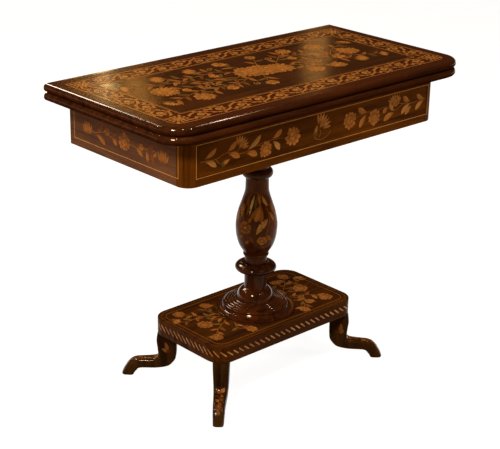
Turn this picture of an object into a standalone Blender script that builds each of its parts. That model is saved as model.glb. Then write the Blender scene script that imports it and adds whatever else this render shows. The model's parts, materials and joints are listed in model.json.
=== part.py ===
"""Card table with a fold-over, turning top on a turned pedestal with four scroll feet.

Metres, +Z up. The origin is on the floor under the centre of the closed table, X runs along the long
side, and the front edge is at -Y. The two leaves are stacked. The top turns a quarter turn about a
bolt that stands off centre, and the upper leaf then opens over the table's back edge, so that the
open square lies centred on the pedestal. A well for cards and counters lies under the top.
"""
import bmesh
import bpy
from math import cos, pi, radians, sin, sqrt
from mathutils import Matrix, Vector

# Clearances
FIT = 0.0003             # gap between pieces that rest on or touch each other
RUN = 0.0005             # gap round a shaft, pin or barrel

# Overall
TOP_HEIGHT = 0.760       # floor to the playing level of the closed table
LEAF_LENGTH = 0.904
LEAF_DEPTH = 0.452       # two leaves open to a square
FRONT_SHIFT = 0.015      # the leaves stand this far forward of the pedestal's axis

# Leaves
LEAF_THICKNESS = 0.0195
LEAF_GAP = 0.0008        # between the closed leaves
LEAF_CORNER_RADIUS = 0.060
TOP_CLEARANCE = 0.0005   # lower leaf over the frieze box
BAIZE_MARGIN = 0.062     # wooden border round the baize
BAIZE_HINGE_MARGIN = 0.030
BAIZE_CORNER_RADIUS = 0.012
BAIZE_RECESS = 0.0012
BAIZE_THICKNESS = 0.0008

# Hinges on the back edge
HINGE_INSET = 0.142      # hinge's centre in from the leaf's end
HINGE_LENGTH = 0.060
HINGE_PLATE_HEIGHT = 0.0132
HINGE_PLATE_THICKNESS = 0.0016
HINGE_OFFSET = 0.0006    # axis behind the leaves' back edge
KNUCKLE_RADIUS = 0.0028
KNUCKLE_LENGTH = 0.0146  # each of the lower plate's two knuckles
HINGE_PIN_RADIUS = 0.0012

# Swivel
SWIVEL_PLATE_SIDE = 0.090
SWIVEL_PLATE_THICKNESS = 0.003
PIVOT_RADIUS = 0.006
PIVOT_HEAD_RADIUS = 0.011
PIVOT_HEAD_HEIGHT = 0.004
PIVOT_TAIL = 0.018       # bolt below the pivot board
PIVOT_WASHER_RADIUS = 0.014
PIVOT_WASHER_THICKNESS = 0.002
PIVOT_NUT_RADIUS = 0.0105
PIVOT_NUT_HEIGHT = 0.009
PIVOT_BOARD_WIDTH = 0.160
PIVOT_BOARD_THICKNESS = 0.020
PIVOT_CLEAT_SIDE = 0.018
STOP_RADIUS = 0.078      # from the pivot to the stop peg
STOP_PEG_RADIUS = 0.004
STOP_PEG_DEPTH = 0.010   # let into the leaf, and below it
STOP_START = 225.0       # bearing of the peg from the pivot, closed
STOP_SLACK = 0.0010      # groove beyond the peg at both ends and sides
QUARTER_TURN = 90.0

# Frieze box
END_OVERHANG = 0.062     # leaf beyond the box at each end
SIDE_OVERHANG = 0.023    # half of what the leaf is deeper than the box
FRIEZE_HEIGHT = 0.1082
RAIL_THICKNESS = 0.018
POST_RADIUS = 0.030      # rounding of the front corners
POST_SIDE = 0.034
FLOOR_RECESS = 0.012     # bottom board above the rails' lower edges
FLOOR_THICKNESS = 0.012
PARTITION_THICKNESS = 0.012
LINING_THICKNESS = 0.0008
GLUE_BLOCK_LENGTH = 0.070
GLUE_BLOCK_DEPTH = 0.016
GLUE_BLOCK_INSET = 0.130  # block's centre in from the end of the box

# Pedestal
CLEAT_LENGTH = 0.300
CLEAT_WIDTH = 0.200
CLEAT_THICKNESS = 0.030
CLEAT_EDGE = 0.008
CLEAT_SCREW_SPACING_X = 0.250
CLEAT_SCREW_SPACING_Y = 0.150
CLEAT_SCREW_RADIUS = 0.0025
CLEAT_SCREW_HEAD = 0.0052
CLEAT_SCREW_LENGTH = 0.038
ROD_RADIUS = 0.006
ROD_WASHER_RADIUS = 0.014
ROD_WASHER_THICKNESS = 0.002
ROD_NUT_RADIUS = 0.0105
ROD_NUT_HEIGHT = 0.008
ROD_RECESS_RADIUS = 0.0165
ROD_RECESS_DEPTH = 0.0145
ROD_STUB = 0.002         # rod end past its nut

BASE_TURNING_HEIGHT = 0.0949
DISC_TURNING_HEIGHT = 0.0264
VASE_SHARE = 0.6968      # of the height between disc and cleat; the rest is the collar's
CAP_RADIUS = 0.052       # moulding under the cleat
CAP_HEIGHT = 0.011
COLLAR_NECK_RADIUS = 0.029
COLLAR_RADIUS = 0.0378
COLLAR_HALF_HEIGHT = 0.0115
VASE_NECK_RADIUS = 0.0278
VASE_FOOT_RADIUS = 0.0272
BEAD_RADIUS = 0.0313
BEAD_HALF_HEIGHT = 0.004
DISC_RADIUS = 0.0506
DISC_HALF_HEIGHT = 0.0125
DOME_RADIUS = 0.0452
RIM_RADIUS = 0.0800
PLINTH_RADIUS = 0.0980

# Platform and feet
FOOT_HEIGHT = 0.1185
PLATFORM_LENGTH = 0.455
PLATFORM_WIDTH = 0.253
PLATFORM_THICKNESS = 0.0405
PLATFORM_RADIUS = 0.043
PLATFORM_EDGE = 0.0012
FOOT_INSET_X = 0.0298    # leg's centre in from the platform's end
FOOT_INSET_Y = 0.0266    # leg's centre in from the platform's long side
LEG_THICKNESS = 0.045
KNEE_SWELL = 0.0022
FOOT_REACH = 0.1114      # leg's centre to the tip of the toe
SOLE_LENGTH = 0.029
ARM_RISE = 0.0195        # floor to the underside of the arm
ARM_THICKNESS = 0.0255
FOOT_TOP_WIDTH = 0.0405
FOOT_TOE_WIDTH = 0.0245
FOOT_EDGE = 0.0045
DOWEL_RADIUS = 0.008
DOWEL_DEPTH = 0.025      # in each of the two pieces

# Fineness of the round forms
TURNED_STEPS = 32
ROUND_SIDES = 20
SMALL_SIDES = 12
CORNER_STEPS = 7

# Levels and places that follow
UPPER_TOP = TOP_HEIGHT
UPPER_BOTTOM = UPPER_TOP - LEAF_THICKNESS
LOWER_TOP = UPPER_BOTTOM - LEAF_GAP
LOWER_BOTTOM = LOWER_TOP - LEAF_THICKNESS
FOLD_Z = (UPPER_BOTTOM + LOWER_TOP) / 2
LEAF_Y = -(HINGE_OFFSET + KNUCKLE_RADIUS) / 2
LEAF_FRONT = LEAF_Y - LEAF_DEPTH / 2
LEAF_BACK = LEAF_Y + LEAF_DEPTH / 2
FOLD_Y = LEAF_BACK + HINGE_OFFSET
BASE_Y = LEAF_Y + FRONT_SHIFT
OPEN_HALF = LEAF_DEPTH / 2 + HINGE_OFFSET
PIVOT_X = (OPEN_HALF - FRONT_SHIFT) / 2
PIVOT_Y = LEAF_Y + (OPEN_HALF + FRONT_SHIFT) / 2

FRIEZE_LENGTH = LEAF_LENGTH - 2 * END_OVERHANG
FRIEZE_DEPTH = LEAF_DEPTH - 2 * SIDE_OVERHANG
FRIEZE_TOP = LOWER_BOTTOM - TOP_CLEARANCE
FRIEZE_BOTTOM = FRIEZE_TOP - FRIEZE_HEIGHT
FRIEZE_FRONT = BASE_Y - FRIEZE_DEPTH / 2
FRIEZE_BACK = BASE_Y + FRIEZE_DEPTH / 2
FRIEZE_END = FRIEZE_LENGTH / 2
INNER_FRONT = FRIEZE_FRONT + RAIL_THICKNESS + FIT
INNER_BACK = FRIEZE_BACK - RAIL_THICKNESS - FIT
INNER_END = FRIEZE_END - RAIL_THICKNESS - FIT
POST_INNER_X = FRIEZE_END - POST_SIDE - FIT
POST_INNER_Y = FRIEZE_FRONT + POST_SIDE + FIT
FLOOR_BOTTOM = FRIEZE_BOTTOM + FLOOR_RECESS
FLOOR_TOP = FLOOR_BOTTOM + FLOOR_THICKNESS
PIVOT_BOARD_BOTTOM = FRIEZE_TOP - PIVOT_BOARD_THICKNESS
PIVOT_BOARD_LEFT = PIVOT_X - PIVOT_BOARD_WIDTH / 2
PIVOT_BOARD_RIGHT = PIVOT_X + PIVOT_BOARD_WIDTH / 2

CLEAT_TOP = FLOOR_BOTTOM - FIT
CLEAT_BOTTOM = CLEAT_TOP - CLEAT_THICKNESS
PLATFORM_TOP = FOOT_HEIGHT + PLATFORM_THICKNESS
BASE_TURNING_BOTTOM = PLATFORM_TOP + FIT
DISC_TURNING_BOTTOM = BASE_TURNING_BOTTOM + BASE_TURNING_HEIGHT + FIT
VASE_TURNING_BOTTOM = DISC_TURNING_BOTTOM + DISC_TURNING_HEIGHT + FIT
VASE_TURNING_HEIGHT = VASE_SHARE * (CLEAT_BOTTOM - VASE_TURNING_BOTTOM)
COLLAR_TURNING_BOTTOM = VASE_TURNING_BOTTOM + VASE_TURNING_HEIGHT + FIT
COLLAR_TURNING_TOP = CLEAT_BOTTOM - FIT
LEG_X = PLATFORM_LENGTH / 2 - FOOT_INSET_X
LEG_Y = PLATFORM_WIDTH / 2 - FOOT_INSET_Y

# Woods and metals: colour, roughness, metallic
MATERIALS = {
    "mahogany": ((0.085, 0.030, 0.014), 0.25, 0.0),
    "inlaid_top": ((0.150, 0.055, 0.020), 0.25, 0.0),
    "inlaid_frieze": ((0.120, 0.045, 0.018), 0.28, 0.0),
    "dark_turning": ((0.050, 0.018, 0.010), 0.20, 0.0),
    "pine": ((0.480, 0.310, 0.160), 0.70, 0.0),
    "baize": ((0.030, 0.110, 0.050), 0.95, 0.0),
    "brass": ((0.650, 0.440, 0.170), 0.35, 1.0),
    "iron": ((0.160, 0.150, 0.140), 0.50, 1.0),
}


def clear_scene():
    for thing in list(bpy.data.objects):
        bpy.data.objects.remove(thing, do_unlink=True)


def new_collection(name):
    collection = bpy.data.collections.new(name)
    bpy.context.scene.collection.children.link(collection)
    return collection


def finish(name, finish_name):
    """A Principled material of this piece's own, in one of the table's finishes."""
    colour, roughness, metallic = MATERIALS[finish_name]
    material = bpy.data.materials.new(name + "_" + finish_name)
    material.use_nodes = True
    shader = material.node_tree.nodes["Principled BSDF"]
    shader.inputs["Base Color"].default_value = (*colour, 1.0)
    shader.inputs["Roughness"].default_value = roughness
    shader.inputs["Metallic"].default_value = metallic
    material.diffuse_color = (*colour, 1.0)
    return material


def add_object(name, data, finish_name=None):
    """Link a part, or a cutter when no finish is given."""
    thing = bpy.data.objects.new(name, data)
    if finish_name:
        PARTS.objects.link(thing)
        data.materials.clear()
        data.materials.append(finish(name, finish_name))
    else:
        CUTTERS.objects.link(thing)
        thing.hide_render = True
        thing.display_type = "WIRE"
    return thing


def mesh_object(name, work, finish_name=None):
    mesh = bpy.data.meshes.new(name)
    work.to_mesh(mesh)
    work.free()
    return add_object(name, mesh, finish_name)


def box(name, low, high, finish_name=None):
    work = bmesh.new()
    bmesh.ops.create_cube(work, size=1.0)
    size = Vector(high) - Vector(low)
    middle = (Vector(high) + Vector(low)) / 2
    bmesh.ops.scale(work, vec=size, verts=work.verts)
    bmesh.ops.translate(work, vec=middle, verts=work.verts)
    return mesh_object(name, work, finish_name)


def cylinder(name, radius, low, high, x, y, finish_name=None, sides=ROUND_SIDES):
    """An upright cylinder."""
    work = bmesh.new()
    bmesh.ops.create_cone(work, cap_ends=True, segments=sides, radius1=radius, radius2=radius,
                          depth=high - low)
    bmesh.ops.translate(work, vec=(x, y, (low + high) / 2), verts=work.verts)
    return mesh_object(name, work, finish_name)


def rod_along_x(name, radius, left, right, y, z, finish_name=None):
    work = bmesh.new()
    bmesh.ops.create_cone(work, cap_ends=True, segments=ROUND_SIDES, radius1=radius,
                          radius2=radius, depth=right - left)
    turn = Matrix.Rotation(pi / 2, 4, "Y")
    bmesh.ops.transform(work, matrix=turn, verts=work.verts)
    bmesh.ops.translate(work, vec=((left + right) / 2, y, z), verts=work.verts)
    return mesh_object(name, work, finish_name)


def boolean(thing, other, operation):
    modifier = thing.modifiers.new(operation.lower() + "_" + other.name, "BOOLEAN")
    modifier.operation = operation
    modifier.solver = "EXACT"
    modifier.object = other


def cut(thing, *cutters):
    for cutter in cutters:
        boolean(thing, cutter, "DIFFERENCE")


def join(thing, *others):
    for other in others:
        boolean(thing, other, "UNION")


def arc(x, y, radius, start, end, steps):
    """Points on an arc from one bearing to another, in degrees."""
    turns = [radians(start + (end - start) * i / steps) for i in range(steps + 1)]
    return [(x + radius * cos(turn), y + radius * sin(turn)) for turn in turns]


def rounded_plan(left, right, front, back, front_radius, back_radius):
    """A rectangle with rounded corners, anticlockwise from the front left."""
    plan = arc(left + front_radius, front + front_radius, front_radius, 180, 270, CORNER_STEPS)
    plan += arc(right - front_radius, front + front_radius, front_radius, 270, 360, CORNER_STEPS)
    if back_radius:
        plan += arc(right - back_radius, back - back_radius, back_radius, 0, 90, CORNER_STEPS)
        plan += arc(left + back_radius, back - back_radius, back_radius, 90, 180, CORNER_STEPS)
    else:
        plan += [(right, back), (left, back)]
    return plan


def mesh_from_curve(name, curve, place, finish_name):
    """Turn a filled curve into a closed mesh object."""
    guide = bpy.data.objects.new(name + "_outline", curve)
    bpy.context.scene.collection.objects.link(guide)
    guide.matrix_world = place
    bpy.context.view_layer.update()
    seen = guide.evaluated_get(bpy.context.evaluated_depsgraph_get())
    mesh = bpy.data.meshes.new_from_object(seen)
    mesh.name = name
    bpy.data.objects.remove(guide, do_unlink=True)
    work = bmesh.new()
    work.from_mesh(mesh)
    bmesh.ops.remove_doubles(work, verts=work.verts, dist=0.00001)
    bmesh.ops.recalc_face_normals(work, faces=work.faces)
    work.to_mesh(mesh)
    work.free()
    thing = add_object(name, mesh, finish_name)
    thing.matrix_world = place
    return thing


def slab(name, plan, low, high, finish_name=None, edge=0.0, edge_steps=1):
    """A flat board from its plan. With an edge, the plan is that of the flat faces."""
    if not edge:
        return square_slab(name, plan, low, high, finish_name)
    curve = bpy.data.curves.new(name + "_outline", "CURVE")
    curve.dimensions = "2D"
    curve.fill_mode = "BOTH"
    curve.extrude = (high - low) / 2 - edge
    curve.bevel_depth = edge
    curve.bevel_resolution = edge_steps
    spline = curve.splines.new("POLY")
    spline.points.add(len(plan) - 1)
    for point, (x, y) in zip(spline.points, plan):
        point.co = (x, y, 0.0, 1.0)
    spline.use_cyclic_u = True
    return mesh_from_curve(name, curve, Matrix.Translation((0, 0, (low + high) / 2)), finish_name)


def square_slab(name, plan, low, high, finish_name):
    """A board with square edges from its plan, listed anticlockwise."""
    work = bmesh.new()
    under = [work.verts.new((x, y, low)) for x, y in plan]
    over = [work.verts.new((x, y, high)) for x, y in plan]
    work.faces.new(list(reversed(under)))
    work.faces.new(over)
    count = len(plan)
    for i in range(count):
        j = (i + 1) % count
        work.faces.new((under[i], under[j], over[j], over[i]))
    return mesh_object(name, work, finish_name)


def turned(name, profile, x, y, finish_name=None, steps=TURNED_STEPS):
    """A turning about an upright line. The profile lists radius and height downwards."""
    mesh = bpy.data.meshes.new(name)
    points = [(radius, 0.0, height) for radius, height in profile]
    count = len(points)
    closed = profile[0][0] > 0.0
    edges = [(i, i + 1) for i in range(count - 1)]
    if closed:
        edges.append((count - 1, 0))
    mesh.from_pydata(points, edges, [])
    thing = add_object(name, mesh, finish_name)
    thing.location = (x, y, 0.0)
    screw = thing.modifiers.new("turning", "SCREW")
    screw.axis = "Z"
    screw.angle = 2 * pi
    screw.screw_offset = 0.0
    screw.steps = steps
    screw.render_steps = steps
    screw.use_merge_vertices = True
    screw.merge_threshold = 0.00001
    screw.use_smooth_shade = True
    return thing


def through_spline(stations, steps):
    """Points of a smooth curve that passes through the stations, ends included."""
    points = [Vector(station) for station in stations]
    first = points[0] * 2 - points[1]
    last = points[-1] * 2 - points[-2]
    points = [first] + points + [last]
    curve = []
    for before, start, end, after in zip(points, points[1:], points[2:], points[3:]):
        for i in range(steps):
            t = i / steps
            bend = (2 * before - 5 * start + 4 * end - after) * t * t
            twist = (3 * start - before - 3 * end + after) * t * t * t
            curve.append((2 * start + (end - before) * t + bend + twist) / 2)
    curve.append(points[-2])
    return [tuple(point) for point in curve]


def cushion(middle, half_height, core, radius, steps):
    """A rounded ring of a turning, listed downwards from its core to its core."""
    turns = [pi / 2 - pi * i / steps for i in range(steps + 1)]
    return [(core + (radius - core) * cos(turn), middle + half_height * sin(turn)) for turn in turns]


def bored(outside):
    """Close a profile with the bore for the tie rod."""
    bore = ROD_RADIUS + RUN
    return outside + [(bore, outside[-1][1]), (bore, outside[0][1])]


def hang_on(axis, *pieces):
    """Give the pieces their origin on a joint's axis and parent them to its empty."""
    for piece in pieces:
        shift = axis.matrix_world.translation - piece.matrix_world.translation
        piece.data.transform(Matrix.Translation(-shift))
        piece.parent = axis
        piece.location = (0.0, 0.0, 0.0)


def axis_empty(name, place, parent=None):
    axis = bpy.data.objects.new(name, None)
    PARTS.objects.link(axis)
    axis.empty_display_size = 0.05
    axis.parent = parent
    axis.location = Vector(place) - (parent.location if parent else Vector())
    bpy.context.view_layer.update()
    return axis


def leaf(name, low):
    """One leaf: half-round on the front and both ends, square at the back."""
    round_edge = LEAF_THICKNESS / 2
    plan = rounded_plan(-LEAF_LENGTH / 2 + round_edge, LEAF_LENGTH / 2 - round_edge,
                        LEAF_FRONT + round_edge, LEAF_BACK + LEAF_THICKNESS,
                        LEAF_CORNER_RADIUS - round_edge, 0.0)
    board = slab(name, plan, low, low + LEAF_THICKNESS, "inlaid_top", round_edge, 2)
    reach = LEAF_LENGTH
    spare = box(name + "_back_cut", (-reach, LEAF_BACK, low - LEAF_THICKNESS),
                (reach, LEAF_BACK + 3 * LEAF_THICKNESS, low + 2 * LEAF_THICKNESS))
    cut(board, spare)
    return board


def baize_plan(gap):
    half = LEAF_LENGTH / 2 - BAIZE_MARGIN - gap
    return rounded_plan(-half, half, LEAF_FRONT + BAIZE_MARGIN + gap,
                        LEAF_BACK - BAIZE_HINGE_MARGIN - gap,
                        BAIZE_CORNER_RADIUS, BAIZE_CORNER_RADIUS)


def make_leaves():
    upper = leaf("upper_leaf", UPPER_BOTTOM)
    lower = leaf("lower_leaf", LOWER_BOTTOM)
    upper_floor = UPPER_BOTTOM + BAIZE_RECESS
    lower_floor = LOWER_TOP - BAIZE_RECESS
    cut(upper, slab("upper_recess", baize_plan(0.0), UPPER_BOTTOM - FIT, upper_floor))
    cut(lower, slab("lower_recess", baize_plan(0.0), lower_floor, LOWER_TOP + FIT))
    upper_baize = slab("upper_baize", baize_plan(FIT), upper_floor - FIT - BAIZE_THICKNESS,
                       upper_floor - FIT, "baize")
    lower_baize = slab("lower_baize", baize_plan(FIT), lower_floor + FIT,
                       lower_floor + FIT + BAIZE_THICKNESS, "baize")
    return upper, lower, upper_baize, lower_baize


def hinge_plate(name, x, up, knuckles, finish_name):
    """One plate of a back-edge hinge. up is 1 for the upper leaf's plate and -1 for the lower's."""
    near = KNUCKLE_RADIUS + RUN
    inner = LEAF_BACK - HINGE_PLATE_THICKNESS
    levels = sorted((FOLD_Z + up * near, FOLD_Z + up * (near + HINGE_PLATE_HEIGHT)))
    plate = box(name, (x - HINGE_LENGTH / 2, inner, levels[0]),
                (x + HINGE_LENGTH / 2, LEAF_BACK, levels[1]), finish_name)
    for i, (left, right) in enumerate(knuckles):
        web_levels = sorted((FOLD_Z, FOLD_Z + up * (near + HINGE_PLATE_THICKNESS)))
        web = box(f"{name}_web_{i}", (left, inner, web_levels[0]), (right, LEAF_BACK, web_levels[1]))
        knuckle = rod_along_x(f"{name}_knuckle_{i}", KNUCKLE_RADIUS, left, right, FOLD_Y, FOLD_Z)
        join(plate, web, knuckle)
    bore = rod_along_x(name + "_bore", HINGE_PIN_RADIUS + FIT, x - HINGE_LENGTH, x + HINGE_LENGTH,
                       FOLD_Y, FOLD_Z)
    cut(plate, bore)
    return plate


def make_hinge(side, x, upper, lower):
    """A three-knuckle hinge let into the back edges of both leaves."""
    left = x - HINGE_LENGTH / 2
    right = x + HINGE_LENGTH / 2
    ends = ((left, left + KNUCKLE_LENGTH), (right - KNUCKLE_LENGTH, right))
    middle = ((left + KNUCKLE_LENGTH + FIT, right - KNUCKLE_LENGTH - FIT),)
    name = "hinge_" + side
    upper_plate = hinge_plate(name + "_upper_plate", x, 1, middle, "brass")
    lower_plate = hinge_plate(name + "_lower_plate", x, -1, ends, "brass")
    pin = rod_along_x(name + "_pin", HINGE_PIN_RADIUS, left, right, FOLD_Y, FOLD_Z, "brass")
    seat_height = KNUCKLE_RADIUS + RUN + HINGE_PLATE_HEIGHT + FIT
    seat = box(name + "_seat",
               (left - FIT, LEAF_BACK - HINGE_PLATE_THICKNESS - FIT, FOLD_Z - seat_height),
               (right + FIT, LEAF_BACK + HINGE_PLATE_THICKNESS, FOLD_Z + seat_height))
    groove = rod_along_x(name + "_groove", KNUCKLE_RADIUS + RUN, left - FIT, right + FIT,
                         FOLD_Y, FOLD_Z)
    cut(upper, seat, groove)
    cut(lower, seat, groove)
    return upper_plate, lower_plate, pin


def hexagon_nut(name, radius, hole, low, high, x, y, finish_name):
    nut = cylinder(name, radius, low, high, x, y, finish_name, sides=6)
    cut(nut, cylinder(name + "_hole", hole, low - FIT * 4, high + FIT * 4, x, y))
    return nut


def washer(name, radius, hole, low, high, x, y, finish_name):
    ring = cylinder(name, radius, low, high, x, y, finish_name)
    cut(ring, cylinder(name + "_hole", hole, low - FIT * 4, high + FIT * 4, x, y))
    return ring


def make_swivel(lower):
    """The iron plate, bolt, washer, nut and stop peg that turn with the lower leaf."""
    half = SWIVEL_PLATE_SIDE / 2
    plate_top = LOWER_BOTTOM + SWIVEL_PLATE_THICKNESS
    plate = box("swivel_plate", (PIVOT_X - half, PIVOT_Y - half, LOWER_BOTTOM),
                (PIVOT_X + half, PIVOT_Y + half, plate_top), "iron")
    plate_seat = box("swivel_plate_seat",
                     (PIVOT_X - half - FIT, PIVOT_Y - half - FIT, LOWER_BOTTOM - FIT),
                     (PIVOT_X + half + FIT, PIVOT_Y + half + FIT, plate_top + FIT))
    head_low = plate_top + FIT
    head_top = head_low + PIVOT_HEAD_HEIGHT
    head_seat = cylinder("pivot_head_seat", PIVOT_HEAD_RADIUS + FIT, plate_top, head_top + FIT,
                         PIVOT_X, PIVOT_Y)
    cut(lower, plate_seat, head_seat)
    bore = cylinder("pivot_plate_hole", PIVOT_RADIUS + FIT, LOWER_BOTTOM - FIT, plate_top + FIT,
                    PIVOT_X, PIVOT_Y)
    cut(plate, bore)
    tail = PIVOT_BOARD_BOTTOM - PIVOT_TAIL
    bolt = turned("pivot_bolt", [(0.0, head_top), (PIVOT_HEAD_RADIUS, head_top),
                                 (PIVOT_HEAD_RADIUS, head_low), (PIVOT_RADIUS, head_low),
                                 (PIVOT_RADIUS, tail), (0.0, tail)],
                  PIVOT_X, PIVOT_Y, "iron", ROUND_SIDES)
    bpy.context.view_layer.update()
    washer_top = PIVOT_BOARD_BOTTOM - FIT
    nut_top = washer_top - PIVOT_WASHER_THICKNESS - FIT
    ring = washer("pivot_washer", PIVOT_WASHER_RADIUS, PIVOT_RADIUS + FIT,
                  washer_top - PIVOT_WASHER_THICKNESS, washer_top, PIVOT_X, PIVOT_Y, "iron")
    nut = hexagon_nut("pivot_nut", PIVOT_NUT_RADIUS, PIVOT_RADIUS + FIT,
                      nut_top - PIVOT_NUT_HEIGHT, nut_top, PIVOT_X, PIVOT_Y, "iron")
    bearing = radians(STOP_START)
    peg_x = PIVOT_X + STOP_RADIUS * cos(bearing)
    peg_y = PIVOT_Y + STOP_RADIUS * sin(bearing)
    peg = cylinder("stop_peg", STOP_PEG_RADIUS, LOWER_BOTTOM - STOP_PEG_DEPTH,
                   LOWER_BOTTOM + STOP_PEG_DEPTH, peg_x, peg_y, "brass")
    cut(lower, cylinder("stop_peg_hole", STOP_PEG_RADIUS + FIT, LOWER_BOTTOM - FIT,
                        LOWER_BOTTOM + STOP_PEG_DEPTH + FIT, peg_x, peg_y))
    return plate, bolt, ring, nut, peg


def stop_groove():
    """The curved slot that lets the stop peg travel a quarter turn."""
    half = STOP_PEG_RADIUS + STOP_SLACK
    start = STOP_START
    end = STOP_START + QUARTER_TURN
    steps = 3 * CORNER_STEPS
    plan = arc(PIVOT_X, PIVOT_Y, STOP_RADIUS + half, start, end, steps)
    cap_x = PIVOT_X + STOP_RADIUS * cos(radians(end))
    cap_y = PIVOT_Y + STOP_RADIUS * sin(radians(end))
    plan += arc(cap_x, cap_y, half, end, end + 180, CORNER_STEPS)[1:-1]
    plan += arc(PIVOT_X, PIVOT_Y, STOP_RADIUS - half, end, start, steps)
    cap_x = PIVOT_X + STOP_RADIUS * cos(radians(start))
    cap_y = PIVOT_Y + STOP_RADIUS * sin(radians(start))
    plan += arc(cap_x, cap_y, half, start + 180, start + 360, CORNER_STEPS)[1:-1]
    floor = FRIEZE_TOP - STOP_PEG_DEPTH - STOP_SLACK
    return slab("stop_groove", plan, floor, FRIEZE_TOP + FIT)


def make_rails():
    """The four rails and the two rounded corner posts, flush with each other outside."""
    post_x = FRIEZE_END - POST_SIDE
    post_y = FRIEZE_FRONT + POST_SIDE
    box("frieze_front_rail", (-post_x + FIT, FRIEZE_FRONT, FRIEZE_BOTTOM),
        (post_x - FIT, FRIEZE_FRONT + RAIL_THICKNESS, FRIEZE_TOP), "inlaid_frieze")
    box("frieze_back_rail", (-INNER_END, FRIEZE_BACK - RAIL_THICKNESS, FRIEZE_BOTTOM),
        (INNER_END, FRIEZE_BACK, FRIEZE_TOP), "mahogany")
    for side, sign in (("left", -1), ("right", 1)):
        ends = sorted((sign * FRIEZE_END, sign * (FRIEZE_END - RAIL_THICKNESS)))
        box(f"frieze_{side}_rail", (ends[0], post_y + FIT, FRIEZE_BOTTOM),
            (ends[1], FRIEZE_BACK, FRIEZE_TOP), "inlaid_frieze")
        middle = FRIEZE_END - POST_RADIUS
        outside = arc(-middle, FRIEZE_FRONT + POST_RADIUS, POST_RADIUS, 180, 270, CORNER_STEPS)
        plan = [(-FRIEZE_END, post_y)] + outside + [(-post_x, FRIEZE_FRONT), (-post_x, post_y)]
        if sign > 0:
            plan = [(-x, y) for x, y in reversed(plan)]
        slab(f"corner_post_{side}", plan, FRIEZE_BOTTOM, FRIEZE_TOP, "mahogany")


def floor_plan(left, right):
    """A board on the inside of the box, notched round the corner posts where it meets them."""
    plan = []
    if left < -POST_INNER_X:
        plan += [(left, POST_INNER_Y), (-POST_INNER_X, POST_INNER_Y), (-POST_INNER_X, INNER_FRONT)]
    else:
        plan += [(left, INNER_FRONT)]
    if right > POST_INNER_X:
        plan += [(POST_INNER_X, INNER_FRONT), (POST_INNER_X, POST_INNER_Y), (right, POST_INNER_Y)]
    else:
        plan += [(right, INNER_FRONT)]
    return plan + [(right, INNER_BACK), (left, INNER_BACK)]


def make_box_inside():
    """The bottom board, well, pivot board and their supports."""
    board = slab("bottom_board", floor_plan(-INNER_END, INNER_END), FLOOR_BOTTOM, FLOOR_TOP, "pine")
    pivot_board = box("pivot_board", (PIVOT_BOARD_LEFT, INNER_FRONT, PIVOT_BOARD_BOTTOM),
                      (PIVOT_BOARD_RIGHT, INNER_BACK, FRIEZE_TOP), "pine")
    cut(pivot_board, stop_groove(),
        cylinder("pivot_board_hole", PIVOT_RADIUS + RUN, PIVOT_BOARD_BOTTOM - FIT,
                 FRIEZE_TOP + FIT, PIVOT_X, PIVOT_Y))
    cleat_top = PIVOT_BOARD_BOTTOM - FIT
    for side, low, high in (("front", INNER_FRONT, INNER_FRONT + PIVOT_CLEAT_SIDE),
                            ("back", INNER_BACK - PIVOT_CLEAT_SIDE, INNER_BACK)):
        box(f"pivot_board_cleat_{side}", (PIVOT_BOARD_LEFT, low, cleat_top - PIVOT_CLEAT_SIDE),
            (PIVOT_BOARD_RIGHT, high, cleat_top), "pine")
    wall_right = PIVOT_BOARD_LEFT - FIT
    wall_left = wall_right - PARTITION_THICKNESS
    box("well_partition", (wall_left, INNER_FRONT, FLOOR_TOP + FIT),
        (wall_right, INNER_BACK, FRIEZE_TOP), "mahogany")
    lining_low = FLOOR_TOP + FIT
    slab("well_lining", floor_plan(-INNER_END, wall_left - FIT), lining_low,
         lining_low + LINING_THICKNESS, "baize")
    for x_side, x_sign in (("left", -1), ("right", 1)):
        middle = x_sign * (FRIEZE_END - GLUE_BLOCK_INSET)
        for y_side, low, high in (("front", INNER_FRONT, INNER_FRONT + GLUE_BLOCK_DEPTH),
                                  ("back", INNER_BACK - GLUE_BLOCK_DEPTH, INNER_BACK)):
            box(f"glue_block_{y_side}_{x_side}",
                (middle - GLUE_BLOCK_LENGTH / 2, low, FRIEZE_BOTTOM + FIT),
                (middle + GLUE_BLOCK_LENGTH / 2, high, FLOOR_BOTTOM - FIT), "pine")
    return board


def make_cleat(board):
    """The block that carries the box on the column, with its four screws."""
    edge = CLEAT_EDGE
    plan = rounded_plan(-CLEAT_LENGTH / 2, CLEAT_LENGTH / 2, BASE_Y - CLEAT_WIDTH / 2,
                        BASE_Y + CLEAT_WIDTH / 2, edge, edge)
    cleat = slab("pedestal_cleat", plan, CLEAT_BOTTOM, CLEAT_TOP, "mahogany")
    bevel = cleat.modifiers.new("eased_edge", "BEVEL")
    bevel.width = edge / 4
    bevel.segments = 1
    bevel.limit_method = "ANGLE"
    bevel.angle_limit = radians(60)
    cut(cleat,
        cylinder("cleat_rod_hole", ROD_RADIUS + RUN, CLEAT_BOTTOM - FIT, CLEAT_TOP + FIT, 0.0,
                 BASE_Y),
        cylinder("cleat_nut_recess", ROD_RECESS_RADIUS, CLEAT_TOP - ROD_RECESS_DEPTH,
                 CLEAT_TOP + FIT, 0.0, BASE_Y))
    number = 0
    for x_sign in (-1, 1):
        for y_sign in (-1, 1):
            number += 1
            x = x_sign * CLEAT_SCREW_SPACING_X / 2
            y = BASE_Y + y_sign * CLEAT_SCREW_SPACING_Y / 2
            make_cleat_screw(f"cleat_screw_{number}", x, y, cleat, board)


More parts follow.
